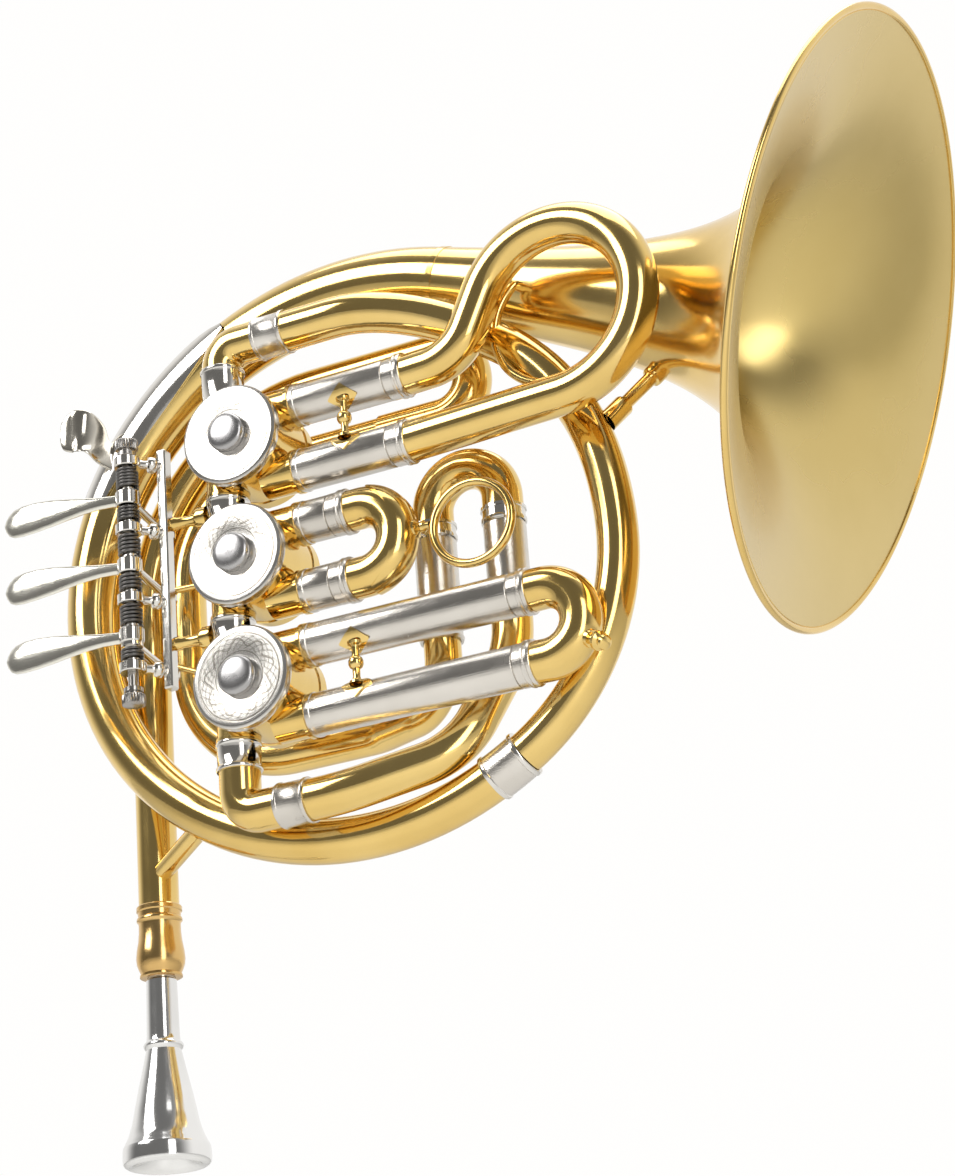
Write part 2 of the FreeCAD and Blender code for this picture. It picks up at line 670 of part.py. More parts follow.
def bow_crook(index):
    """A plain U bow for the second or third slide."""
    upper, lower = leg_heights(index)
    stop = SLIDE_STOPS[index]
    straight = 3.5
    pieces = []
    for z in (upper, lower):
        start = V(stop, PORT_PLANE, z)
        pieces.append(ring_face(start, X_AXIS, TUBE_R, BORE_R).extrude(V(straight, 0, 0)))
    section = ring_face(V(stop + straight, PORT_PLANE, upper), X_AXIS, TUBE_R, BORE_R)
    centre = V(stop + straight, PORT_PLANE, (upper + lower) / 2)
    pieces.append(section.revolve(centre, Y_AXIS, 180))
    return join(pieces)


def saddle(index, start_deg, sweep_deg):
    """Guard plate soldered round the outside of a U bow."""
    upper, lower = leg_heights(index)
    centre = V(SLIDE_STOPS[index] + 3.5, PORT_PLANE, (upper + lower) / 2)
    start = centre + polar(BOW_R, start_deg, 0)
    tangent = V(math.sin(math.radians(start_deg)), 0, -math.cos(math.radians(start_deg)))
    plate = ring_face(start, tangent, TUBE_R + 0.6, TUBE_R).revolve(centre, Y_AXIS, sweep_deg)
    inner_side = Part.makeCylinder(BOW_R - 0.5, 30, centre - V(0, 15, 0), Y_AXIS)
    return plate.cut(inner_side).Solids[0]


def make_crooks():
    """Moving crooks with their ferrules, sliding legs and pull pieces."""
    write("slide_1_crook", loop_crook())
    write("slide_2_crook", bow_crook(1))
    write("slide_3_crook", bow_crook(2))
    for i in range(3):
        pairs = [join([tube, end]) for tube, end in zip(stockings(i), crook_ferrules(i))]
        write("slide_" + str(i + 1) + "_stockings", *pairs)
    upper, lower = leg_heights(1)
    middle = (upper + lower) / 2
    apex = SLIDE_STOPS[1] + 3.5 + BOW_R + TUBE_R
    ring_centre = V(74.4, PORT_PLANE, middle - 2.6)
    ring = Part.makeTorus(12.9, 1.35, ring_centre, Y_AXIS)
    bow_edge = V(apex - 0.5, PORT_PLANE, middle)
    stem = turned([(0, 0), (0, 3.0), (1.4, 3.0), (2.2, 1.3), (3.4, 1.9), (5.4, 1.2), (5.4, 0)],
                  bow_edge, X_AXIS)
    plate = saddle(1, 72.0, 144.0)
    write("slide_2_pull_ring", join([ring, stem.cut(bow_crook(1)), plate]))
    knob_root = V(SLIDE_STOPS[2] + 3.5, PORT_PLANE, 0)
    direction = V(0.80, -0.36, -0.48).normalize()
    knob_centre = V(knob_root.x, PORT_PLANE, leg_heights(2)[1] + BOW_R) + V(0.86, 0, -0.51) * BOW_R
    profile = [(0, 0), (0, 2.6), (1.0, 2.6), (1.5, 1.5), (2.6, 1.5), (3.2, 2.9), (4.6, 2.9),
               (5.2, 1.7), (5.9, 2.3), (7.0, 1.9), (7.4, 0)]
    knob = turned(profile, knob_centre + direction * (TUBE_R - 0.4), direction)
    write("slide_3_knob", knob.cut(bow_crook(2)).Solids[0])


def leg_brace(x, index):
    """Turned post between two slide legs, with a pointed flange on one and a foot on the other."""
    upper, lower = leg_heights(index)
    front = PORT_PLANE - 5.2
    high = V(x, front, upper - 4.6)
    low = V(x, front, lower + 4.6)
    length = high.z - low.z
    post = turned([(0, 0), (0, 2.0), (1.2, 2.0), (1.8, 1.3), (length / 2 - 1.2, 1.2),
                   (length / 2 - 0.9, 2.1), (length / 2 + 0.9, 2.1), (length / 2 + 1.2, 1.2),
                   (length - 1.8, 1.3), (length - 1.2, 2.0), (length, 2.0), (length, 0)], low, Z_AXIS)
    shells = []
    for z, tall in ((upper, 8.5), (lower, 6.5)):
        start = V(x - 4.2, PORT_PLANE, z)
        shell = sleeve(start, start + V(8.4, 0, 0), LEG_OUT_R + 0.7, LEG_OUT_R)
        side = -1 if z == upper else 1
        reach = V(x, PORT_PLANE - 12, z + side * 4.0)
        diamond = [reach + V(-4.2, 0, 0), reach + V(0, 0, tall / 2), reach + V(4.2, 0, 0),
                   reach + V(0, 0, -tall / 2)]
        prism = Part.Face(Part.makePolygon(diamond + diamond[:1])).extrude(V(0, 13, 0))
        shells.append(shell.common(prism).Solids[0])
    blocker = [rod(V(x - 10, PORT_PLANE, z), V(x + 10, PORT_PLANE, z), LEG_OUT_R) for z in (upper, lower)]
    body = post.cut(blocker[0]).cut(blocker[1])
    return join([max(body.Solids, key=lambda s: s.Volume)] + shells)


# ---------------------------------------------------------------- tuning slide and rear tubing
def make_entry_branch():
    """Tube to the main tuning slide's right leg; returns the pieces below the third valve."""
    port_high = V(PORT_X, PORT_PLANE, VALVE_Z[2] - 16.0)
    port_low = V(PORT_X, PORT_PLANE, -65.0)
    port = ringed_ferrule(port_low, port_high, 6.75, BORE_R)
    base_z = -78.6
    ferrule_left = V(5.4, PORT_PLANE, base_z)
    ferrule_right = V(15.6, PORT_PLANE, base_z)
    corner = V(PORT_X, PORT_PLANE, base_z)
    elbow = bent_tube([port_low, corner, ferrule_left], [7.0], TUBE_R, BORE_R)
    ferrule = ringed_ferrule(ferrule_left, ferrule_right, 6.75, BORE_R)
    run = [ferrule_right, V(26, PORT_PLANE, base_z), V(60.0, 24.0, -70.0),
           V(TUNING_RIGHT_X, TUNING_DEPTH, -38.0), V(TUNING_RIGHT_X, TUNING_DEPTH, -26.0)]
    write("entry_branch", bent_tube(run, [40.0, 26.0, 34.0], TUBE_R, BORE_R))
    return elbow, ferrule, port


def make_tuning_slide():
    """Main tuning slide: two fixed legs, a U crook that draws upwards, and its ferrules."""
    legs = []
    ferrules = []
    inner = []
    low_ends = (-30.0, -26.0)
    for x, low in zip((TUNING_LEFT_X, TUNING_RIGHT_X), low_ends):
        start = V(x, TUNING_DEPTH, low)
        stop = V(x, TUNING_DEPTH, TUNING_END_Z)
        tube = rod(start, stop, LEG_OUT_R).cut(rod(start, stop, BORE_R))
        legs.append(tube.cut(rod(V(x, TUNING_DEPTH, -22.5), stop, LEG_IN_R)).Solids[0])
        ferrule_start = V(x, TUNING_DEPTH, TUNING_END_Z + GAP)
        ferrule_stop = V(x, TUNING_DEPTH, TUNING_STOP_Z)
        ferrules.append(ringed_ferrule(ferrule_start, ferrule_stop, 6.75, STOCKING_R))
        inner.append(sleeve(V(x, TUNING_DEPTH, -21.5), ferrule_stop, STOCKING_R, BORE_R))
    write("tuning_legs", *legs)
    write("tuning_stockings", *[join([tube, end]) for tube, end in zip(inner, ferrules)])
    middle = (TUNING_LEFT_X + TUNING_RIGHT_X) / 2
    spread = (TUNING_RIGHT_X - TUNING_LEFT_X) / 2
    top = V(TUNING_LEFT_X, TUNING_DEPTH, TUNING_STOP_Z)
    lift = V(0, 0, 4.0)
    pieces = [ring_face(top, Z_AXIS, TUBE_R, BORE_R).extrude(lift),
              ring_face(top + V(2 * spread, 0, 0), Z_AXIS, TUBE_R, BORE_R).extrude(lift)]
    section = ring_face(top + lift, Z_AXIS, TUBE_R, BORE_R)
    pieces.append(section.revolve(V(middle, TUNING_DEPTH, TUNING_STOP_Z + 4.0), Y_AXIS, 180))
    write("tuning_crook", join(pieces))


def make_rear_tubing():
    """Leadpipe up the left and over the top, a U bend, and the inner circle to the tuning slide."""
    run = [V(LEADPIPE_X, REAR_DEPTH, RECEIVER_TOP_Z), V(LEADPIPE_X, REAR_DEPTH, 73.0),
           V(62.0, REAR_DEPTH, 73.0), V(62.0, REAR_DEPTH, 50.0), V(30.0, REAR_DEPTH, 50.0)]
    write("leadpipe", bent_tube(run, [66.0, 11.4, 11.4], LEADPIPE_R, LEADPIPE_BORE_R))
    run = [run[-1], V(-45.0, REAR_DEPTH, 50.0), V(-45.0, REAR_DEPTH, -50.0),
           V(22.0, REAR_DEPTH, -50.0), V(TUNING_LEFT_X, TUNING_DEPTH, -50.0),
           V(TUNING_LEFT_X, TUNING_DEPTH, -30.0)]
    bends = [36.0, 36.0, 20.0, 15.0]
    write("inner_circle_tube", bent_tube(run, bends, INNER_CIRCLE_R, INNER_CIRCLE_BORE_R))


def make_receiver():
    """Bulb-shaped receiver that the mouthpiece's shank slides into, and its strut."""
    axis = V(0, 0, -1)
    length = RECEIVER_TOP_Z - RECEIVER_END_Z
    outline = [(0, 7.2), (1.6, 7.2), (1.6, 6.7), (3.2, 6.7), (3.2, 7.2), (4.6, 7.2),
               (4.6, 6.6), (9.5, 6.8), (13.0, 7.4), (16.5, 7.7), (19.0, 7.3), (20.6, 6.5),
               (length - 1.2, 6.2), (length - 0.8, 6.7), (length, 6.5)]
    profile = outline + [(length, RECEIVER_BORE_R), (0, RECEIVER_BORE_R)]
    centre = V(LEADPIPE_X, REAR_DEPTH, RECEIVER_TOP_Z)
    solid = turned(profile, centre, axis)
    write("mouthpiece_receiver", solid)
    runs, _, _ = wrap_layout()
    station = runs[2][2]
    strut_start = V(LEADPIPE_X + 2.0, REAR_DEPTH - 2.0, -80.0)
    strut = rod(strut_start, station[0], 3.1)
    strut = strut.cut(rod(V(LEADPIPE_X, REAR_DEPTH, -100), V(LEADPIPE_X, REAR_DEPTH, -60), LEADPIPE_R))
    strut = strut.cut(lofted_tube(runs[2][:6], 3.0))
    pieces = sorted(strut.Solids, key=lambda s: s.Volume)
    write("leadpipe_strut", pieces[-1])


def make_mouthpiece():
    """Funnel mouthpiece: tapered shank, turned ring, flared cup and a rounded rim."""
    axis = V(0, 0, -1)
    insert = 18.0
    start_z = RECEIVER_END_Z + insert
    length = start_z - MOUTHPIECE_RIM_Z
    centre = V(LEADPIPE_X, REAR_DEPTH, start_z)
    shank_r = RECEIVER_BORE_R - 0.05
    outline = [(0, shank_r), (insert + 0.6, shank_r), (insert + 1.4, 4.9), (36.0, 5.2), (38.5, 5.6),
               (39.0, 6.2), (40.2, 6.2), (40.7, 5.7), (44.0, 6.2), (50.0, 7.3), (56.0, 8.7),
               (62.0, 10.1), (66.5, 11.4), (69.0, 12.5), (70.5, 13.3), (72.0, MOUTHPIECE_RIM_R),
               (length - 1.2, MOUTHPIECE_RIM_R), (length - 0.3, 12.9), (length, 11.8)]
    inside = [(length - 0.5, 10.4), (length - 2.5, 9.3), (length - 9.0, 7.4), (length - 16.0, 5.2),
              (length - 23.0, 3.0), (length - 27.0, 2.2), (insert, 2.6), (0, 3.6)]
    write("mouthpiece", turned(outline + inside, centre, axis))


# ---------------------------------------------------------------- levers and linkage
def lever(index):
    """Touch plate, hinge tube and rear arm of one lever."""
    z = LEVER_Z[index]
    low = NODE_Z[index + 1] + 1.9
    high = NODE_Z[index] - 1.9
    tube = sleeve(V(ROD_X, 0, low), V(ROD_X, 0, high), 2.3, ROD_R + 0.05)
    collar = sleeve(V(ROD_X, 0, z - 2.2), V(ROD_X, 0, z + 2.2), 3.9, 2.3)
    stations = ((-3.4, -0.6, 1.9, 1.5), (-9.0, -2.4, 2.1, 1.3), (-16.0, -3.8, 3.0, 1.2),
                (-24.0, -4.6, 4.4, 1.2), (-32.0, -4.8, 5.0, 1.2), (-38.0, -4.4, 4.7, 1.2),
                (-41.5, -3.8, 3.4, 1.1), (-42.9, -3.5, 1.6, 1.0))
    wires = []
    for dx, depth, half, thick in stations:
        centre = V(ROD_X + dx, depth, z)
        corners = [centre + V(0, -thick / 2, half), centre + V(0, thick / 2, half),
                   centre + V(0, thick / 2, -half), centre + V(0, -thick / 2, -half)]
        wires.append(Part.makePolygon(corners + corners[:1]))
    plate = Part.makeLoft(wires, True, False)
    lean = math.radians(LEVER_TILT_DEG)
    link_z = LINK_Z_LEVER[index]
    tip = V(ROD_X - LEVER_ARM * math.sin(lean), LEVER_ARM * math.cos(lean), link_z)
    root = V(ROD_X, 0, link_z)
    along = (tip - root).normalize()
    across = along.cross(Z_AXIS)
    half_root = 1.5
    corners = [root + across * half_root + along * 1.0, tip + across * 1.3, tip - across * 1.3,
               root - across * half_root + along * 1.0]
    arm = Part.Face(Part.makePolygon(corners + corners[:1])).extrude(V(0, 0, 2.0))
    eye = Part.makeCylinder(2.6, 2.0, tip, Z_AXIS)
    boss = sleeve(V(ROD_X, 0, link_z - 0.6), V(ROD_X, 0, link_z + 2.6), 3.4, 2.3)
    bore = Part.makeCylinder(ROD_R + 0.05, 60, V(ROD_X, 0, z - 30), Z_AXIS)
    pin = Part.makeCylinder(1.0, 3.9, tip + V(0, 0, 2.0), Z_AXIS)
    whole = tube.multiFuse([collar, plate, arm, eye, boss, pin]).cut(bore)
    return whole.removeSplitter().Solids[0]


def link(index):
    """Push rod from the lever's arm to the rotor's pin, with a slotted rear eye."""
    lean = math.radians(LEVER_TILT_DEG)
    lever_z = LINK_Z_LEVER[index] + 2.4
    depth = LEVER_ARM * math.cos(lean)
    lever_end = V(ROD_X - LEVER_ARM * math.sin(lean), depth, lever_z)
    eye = Part.makeCylinder(2.6, 2.4, lever_end, Z_AXIS)
    hole = Part.makeCylinder(1.06, 4.0, lever_end - V(0, 0, 0.5), Z_AXIS)
    side = PIN_SIDES[index]
    reach = STOP_ARM_R / math.sqrt(2)
    pin = V(-reach, LINK_FRONT, VALVE_Z[index] + side * reach)
    rise = 2.4 * side
    slot_low = pin
    slot_high = pin + V(0, 0, rise)
    thickness = LINK_BACK - LINK_FRONT
    plates = []
    holes = []
    for spot in (slot_low, slot_high):
        plates.append(Part.makeCylinder(3.4, thickness, spot, Y_AXIS))
        holes.append(Part.makeCylinder(1.75, thickness + 2, spot - V(0, 1, 0), Y_AXIS))
    for group, half, front, deep in ((plates, 3.4, LINK_FRONT, thickness),
                                     (holes, 1.75, LINK_FRONT - 1, thickness + 2)):
        low = min(slot_low.z, slot_high.z)
        box = Part.makeBox(2 * half, deep, abs(rise), V(pin.x - half, front, low))
        group.append(box)
    start = lever_end + V(1.9, 0, 1.2)
    stop = V(pin.x - 3.0, (LINK_FRONT + LINK_BACK) / 2, pin.z + rise / 2)
    bar = rod(start, stop, 1.1)
    body = eye.multiFuse([bar] + plates)
    body = body.cut(hole).cut(holes[0].multiFuse(holes[1:]))
    return body.removeSplitter().Solids[0]


def make_levers():
    """Levers, links, hinge rod, springs, thumb screws and the bracket that carries them."""
    for i in range(3):
        write("lever_" + str(i + 1), lever(i))
        write("lever_link_" + str(i + 1), link(i))
    coils = []
    for i, z in enumerate(LEVER_Z):
        boss = LINK_Z_LEVER[i]
        above = max(z + 2.2, boss + 2.6) + GAP
        below = min(z - 2.2, boss - 0.6) - GAP
        spans = ((above, NODE_Z[i] - 1.6), (NODE_Z[i + 1] + 1.6, below))
        for low, high in spans:
            coils.append(sleeve(V(ROD_X, 0, low), V(ROD_X, 0, high), 3.6, 2.7))
    write("lever_springs", *coils)
    screws = [rod(V(ROD_X, 0, ROD_LOW), V(ROD_X, 0, ROD_HIGH), ROD_R)]
    for z, way in ((ROD_HIGH, 1), (ROD_LOW, -1)):
        profile = [(-3.4, ROD_R), (-3.4, 3.1), (-2.0, 3.1), (-2.0, 2.4), (-1.2, 2.4), (-1.2, 3.5),
                   (2.0, 3.5), (2.6, 2.9), (2.6, 0), (0, 0), (0, ROD_R)]
        screws.append(turned(profile, V(ROD_X, 0, z), V(0, 0, way)))
    write("hinge_rod", join(screws))
    bar = Part.makeBox(3.2, 4.2, 80.0, V(-30.2, 6.2, -35.4))
    pieces = [bar]
    for z in NODE_Z:
        eye = Part.makeCylinder(4.2, 3.2, V(ROD_X, 0, z - 1.6), Z_AXIS)
        neck = rod(V(ROD_X, 0, z), V(-28.6, 8.3, z), 1.5)
        collar = turned([(0, 0), (0, 2.4), (2.2, 2.4), (2.2, 0)], V(-31.6, 5.5, z), V(0.75, 0.66, 0))
        pieces.extend([eye, neck, collar])
    hole = Part.makeCylinder(ROD_R + 0.05, 90, V(ROD_X, 0, -42), Z_AXIS)
    write("lever_bracket", bar.multiFuse(pieces[1:]).cut(hole).removeSplitter().Solids[0])
    braces = []
    for z in (20.0, -20.0):
        brace = rod(V(-28.6, 10.4, z), V(PORT_X, PORT_PLANE, z), 2.2)
        flange = rod(V(-17.6, 12.2, z), V(PORT_X, PORT_PLANE, z), 3.6)
        keep_out = rod(V(PORT_X, PORT_PLANE, z - 8), V(PORT_X, PORT_PLANE, z + 8), 7.1)
        whole = brace.fuse(flange).cut(keep_out).cut(bar)
        braces.append(max(whole.Solids, key=lambda s: s.Volume))
    write("bracket_braces", *braces)


def make_small_braces():
    """Braces between slide legs, and the curved stay between the bell and the return tube."""
    write("slide_leg_braces", leg_brace(36.5, 0), leg_brace(35.5, 2))
    centre = V(STAY_X, STAY_DEPTH, STAY_Z)
    start = centre + polar(STAY_R, STAY_FROM_DEG, 0)
    tangent = polar(1.0, STAY_FROM_DEG + 90, 0)
    disc = Part.Face(Part.Wire(Part.Circle(start, tangent, STAY_WIRE_R).toShape()))
    stay = disc.revolve(centre, V(0, -1, 0), STAY_SWEEP_DEG)
    foot = rod(start - tangent * 0.4, start + V(1.5, 14, 2.0), STAY_WIRE_R)
    end = centre + polar(STAY_R, STAY_FROM_DEG + STAY_SWEEP_DEG, 0)
    heel = rod(end, end + V(-3.0, 6, 0), STAY_WIRE_R)
    _, returns = return_layout()
    whole = stay.multiFuse([foot, heel])
    whole = whole.cut(bell_core()).cut(lofted_tube(returns[2], 3.0))
    write("loop_stay", max(whole.removeSplitter().Solids, key=lambda s: s.Volume))
    write("bell_brace", bell_brace([lofted_tube(run, 3.0) for run in returns[1:]]))


def bell_brace(return_tubes):
    """Turned rod from the return tube up to the underside of the bell's throat."""
    along = BELL_BRACE_HIGH - BELL_BRACE_LOW
    length = along.Length
    along = along.normalize()
    outline = [(0, 0), (0, 3.3), (12.0, 3.3), (12.8, 2.2), (length - 10.8, 2.2), (length - 10.0, 3.3),
               (length, 3.3), (length, 0)]
    brace = turned(outline, BELL_BRACE_LOW, along).cut(bell_core())
    for tube in return_tubes:
        brace = brace.cut(tube)
    return max(brace.Solids, key=lambda s: s.Volume)


def main():
    os.makedirs("parts", exist_ok=True)
    make_bell()
    make_bell_branch()
    exit_elbow, exit_ferrule, exit_port = make_return_tube()
    make_hand_guard()
    make_finger_hook()
    knuckles = make_valves()
    make_slide_legs()
    make_crooks()
    entry_elbow, entry_ferrule, entry_port = make_entry_branch()
    write("valve_elbows", exit_elbow, entry_elbow)
    write("tube_ferrules", exit_ferrule, entry_ferrule)
    write("valve_ports", exit_port, entry_port, *knuckles)
    make_tuning_slide()
    make_rear_tubing()
    make_receiver()
    make_mouthpiece()
    make_levers()
    make_small_braces()


main()
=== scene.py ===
"""Compact french horn in lacquered brass and nickel silver, on a pale studio floor.

Lengths in the tables below are millimetres in the valve frame: origin at the middle valve
cap's front face, X along the slides, Y to the back of the horn, Z up. at() turns them into
metres in the part frame, whose origin is the left hand's grip.
"""
import math

import bmesh
import bpy
from mathutils import Matrix, Quaternion, Vector


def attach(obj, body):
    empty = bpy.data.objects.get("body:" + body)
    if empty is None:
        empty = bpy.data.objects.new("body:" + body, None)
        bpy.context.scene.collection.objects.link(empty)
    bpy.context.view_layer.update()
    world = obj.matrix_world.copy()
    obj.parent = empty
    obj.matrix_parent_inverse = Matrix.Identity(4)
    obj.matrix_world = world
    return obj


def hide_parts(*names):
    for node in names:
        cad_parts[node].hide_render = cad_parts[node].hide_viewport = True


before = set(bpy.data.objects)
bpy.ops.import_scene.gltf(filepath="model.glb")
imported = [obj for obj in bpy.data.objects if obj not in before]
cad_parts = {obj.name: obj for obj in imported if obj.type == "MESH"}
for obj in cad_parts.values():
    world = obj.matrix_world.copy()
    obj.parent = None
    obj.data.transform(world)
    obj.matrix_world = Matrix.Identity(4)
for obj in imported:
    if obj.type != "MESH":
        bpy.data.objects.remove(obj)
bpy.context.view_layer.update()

GRIP = Vector((-44.0, 38.5, 66.0))
MM = 0.001
FINE = 1.0

TUBE_R = 6.4
PORT_PLANE = 13.0
PORT_X = -8.6
FERRULE_R = 6.75
ENTRY_Z = -78.6
VALVE_Z = (40.0, 0.0, -40.0)
LEG_SPREAD = 11.2
LEG_DROP = 1.4
LEG_START = 17.4
LEG_R = 6.65
INNER_LEG_R = 6.15
INNER_LEG_OVERLAPS = (30.0, 9.0, 56.0)
SLIDE_ENDS = (50.0, 28.0, 86.0)
SLIDE_STOPS = (56.5, 34.5, 92.0)
BELL_RIM = Vector((187.7, 46.0, 43.8))
BELL_R = 92.4
BELL_LENGTH = 137.2
BELL_PITCH_DEG = 20.3
BELL_YAW_DEG = 2.8
BELL_WALL = 0.8
FLARE_BASE_R = 6.0
FLARE_LENGTH = 30.0
FLARE_POWER = 1.544
WRAP_BENDS = ((99.9, 225.0, 9.6), (89.0, 315.0, 7.5), (103.2, 383.6, 6.7))
WRAP_DEPTH_END = 28.0
WRAP_DEPTH_STOP_DEG = 387.0
BRANCH_FERRULE_R = 7.2
BRANCH_FERRULE_STOP_DEG = 390.4
FERRULE_DROP = 0.17
RETURN_BENDS = ((72.0, 90.0, 27.5), (110.0, 102.0, 27.2), (82.0, 180.0, 27.0))
RETURN_STEPS = 26
LOOP_CENTRE_X = 107.3
LOOP_R = 28.0
LOOP_ENTRY_DEG = 62.0
LOOP_LEAN_DEG = -4.0
TUNING_DEPTH = 36.0
TUNING_X = (50.8, 74.6)
TUNING_STOP_Z = 8.6
REAR_DEPTH = 48.2
LEADPIPE_X = -60.0
LEADPIPE_R = 6.4
LEADPIPE_END_Z = -90.0
LEADPIPE_TOP_Z = 73.0
REAR_TURN_X = 62.0
INNER_CIRCLE_Z = 50.0
MOUTHPIECE_START_Z = -94.5
INNER_CIRCLE_R = 5.8
ROD_X = -37.0
NODE_Z = (39.5, 16.9, -6.5, -29.0)
LEVER_Z = (27.2, 4.4, -18.6)
LINK_Z = (26.2, 4.4, -21.6)
ROD_ENDS = (45.0, -39.0)
LEVER_ARM = 33.0
LEVER_LEAN_DEG = 10.0
FLOOR_Z = -560.0

X = Vector((1, 0, 0))
Y = Vector((0, 1, 0))
Z = Vector((0, 0, 1))


def V(x, y, z):
    return Vector((x, y, z))


def at(point):
    """A valve-frame point in millimetres as a part-frame point in metres."""
    return (Vector(point) - GRIP) * MM


# ---- meshes
def add_mesh(name, verts, faces, material, body="horn", smooth=True, sharp=40.0):
    mesh = bpy.data.meshes.new(name)
    mesh.from_pydata([at(v) for v in verts], [], faces)
    mesh.validate()
    if smooth:
        mesh.shade_smooth()
        mesh.set_sharp_from_angle(angle=math.radians(sharp))
    obj = bpy.data.objects.new(name, mesh)
    bpy.context.scene.collection.objects.link(obj)
    mesh.materials.append(material)
    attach(obj, body)
    return obj


def frames_along(points):
    """Tangent and two side directions at each point, turned as little as possible."""
    tangents = []
    for i in range(len(points)):
        before = points[max(i - 1, 0)]
        after = points[min(i + 1, len(points) - 1)]
        tangents.append((after - before).normalized())
    side = tangents[0].cross(Y)
    if side.length < 0.05:
        side = tangents[0].cross(X)
    side.normalize()
    out = []
    for tangent in tangents:
        side = (side - tangent * side.dot(tangent)).normalized()
        out.append((tangent, side, tangent.cross(side)))
    return out


def ring_quads(rings, count):
    """Quads between neighbouring rings of count vertices."""
    return [(i * count + k, i * count + (k + 1) % count, (i + 1) * count + (k + 1) % count,
             (i + 1) * count + k) for i in range(rings - 1) for k in range(count)]


def sweep(name, points, radius, material, body="horn", around=48, closed_ends=True):
    """Round tube or wire along a path; radius is one number or one for each point."""
    count = max(12, int(around * (0.5 + 0.5 * FINE)))
    radii = radius if isinstance(radius, list) else [radius] * len(points)
    verts = []
    for point, r, (_, side, up) in zip(points, radii, frames_along(points)):
        for k in range(count):
            angle = 2 * math.pi * k / count
            verts.append(point + side * (r * math.cos(angle)) + up * (r * math.sin(angle)))
    faces = ring_quads(len(points), count)
    if closed_ends:
        faces.append(tuple(range(count))[::-1])
        last = (len(points) - 1) * count
        faces.append(tuple(range(last, last + count)))
    return add_mesh(name, verts, faces, material, body)


def lathe_data(profile, origin, axis, around=64, squash=None):
    """Vertices and faces of a turned shape from (distance along axis, radius) points."""
    axis = axis.normalized()
    side = axis.cross(Y)
    if side.length < 0.05:
        side = axis.cross(X)
    side.normalize()
    up = axis.cross(side)
    count = around
    verts = []
    for s, r in profile:
        for k in range(count):
            angle = 2 * math.pi * k / count
            reach = r if squash is None else squash(r, angle)
            across = side * (reach * math.cos(angle)) + up * (reach * math.sin(angle))
            verts.append(origin + axis * s + across)
    faces = []
    for i in range(len(profile) - 1):
        for k in range(count):
            a = i * count + k
            b = i * count + (k + 1) % count
            faces.append((a, a + count, b + count, b))
    return verts, faces


def lathe(name, profile, origin, axis, material, body="horn", around=64, squash=None):
    verts, faces = lathe_data(profile, origin, axis, around, squash)
    return add_mesh(name, verts, faces, material, body, sharp=35.0)


def gather(name, parts, material, body="horn", sharp=35.0):
    """One object from several (verts, faces) pairs."""
    verts = []
    faces = []
    for more_verts, more_faces in parts:
        base = len(verts)
        verts.extend(more_verts)
        faces.extend(tuple(i + base for i in face) for face in more_faces)
    return add_mesh(name, verts, faces, material, body, sharp=sharp)


def rounded_box(low, high, bevel):
    """Box with chamfered edges, as (verts, faces)."""
    low = Vector(low)
    high = Vector(high)
    centre = (low + high) / 2
    half = (high - low) / 2
    verts = []
    for sx in (-1, 1):
        for sy in (-1, 1):
            for sz in (-1, 1):
                for keep in range(3):
                    corner = Vector((sx * half.x, sy * half.y, sz * half.z))
                    for k in range(3):
                        if k != keep:
                            corner[k] -= bevel * (1 if corner[k] > 0 else -1)
                    verts.append(centre + corner)
    work = bmesh.new()
    for vert in verts:
        work.verts.new(vert)
    bmesh.ops.convex_hull(work, input=work.verts)
    work.verts.ensure_lookup_table()
    out_verts = [vert.co.copy() for vert in work.verts]
    for i, vert in enumerate(work.verts):
        vert.index = i
    out_faces = [tuple(v.index for v in face.verts) for face in work.faces]
    work.free()
    return out_verts, out_faces


def grid_quads(base, rows, across):
    """Quads over a grid of rows + 1 by across + 1 vertices that starts at base."""
    quads = []
    for i in range(rows):
        for k in range(across):
            a = base + i * (across + 1) + k
            quads.append((a, a + 1, a + across + 2, a + across + 1))
    return quads


def side_lines(rows, across):
    """Vertex numbers along the two long sides of such a grid."""
    first = [i * (across + 1) for i in range(rows + 1)]
    return first, [a + across for a in first]


def skirt_quads(line, step):
    """Quads that join a line of one layer to the same line of the next."""
    return [(a, b, b + step, a + step) for a, b in zip(line, line[1:])]


# ---- paths
def rounded_path(points, bends):
    """Points along straight runs joined by round bends."""
    step_deg = 4.0 / (0.4 + 0.6 * FINE)
    out = [Vector(points[0])]
    for i, radius in enumerate(bends):
        corner = Vector(points[i + 1])
        before = (corner - Vector(points[i])).normalized()
        after = (Vector(points[i + 2]) - corner).normalized()
        turn = before.angle(after)
        reach = radius * math.tan(turn / 2)
        normal = before.cross(after).normalized()
        start = corner - before * reach
        centre = start + normal.cross(before) * radius
        count = max(4, int(math.degrees(turn) / step_deg))
        for k in range(count + 1):
            out.append(centre + Quaternion(normal, turn * k / count) @ (start - centre))
    out.append(Vector(points[-1]))
    return out


def arc_run(start, heading, radius, stop, depths, tube_radii, count):
    """Points and radii along a bend in the X-Z plane whose depth and thickness change evenly."""
    first = math.radians(heading)
    centre_x = start[0] - radius * math.sin(first)
    centre_z = start[1] + radius * math.cos(first)
    points = []
    radii = []
    for i in range(count + 1):
        part = i / count
        angle = math.radians(heading + (stop - heading) * part)
        depth = depths[0] + (depths[1] - depths[0]) * part
        points.append(V(centre_x + radius * math.sin(angle), depth,
                        centre_z - radius * math.cos(angle)))
        radii.append(tube_radii[0] + (tube_radii[1] - tube_radii[0]) * part)
    return points, radii


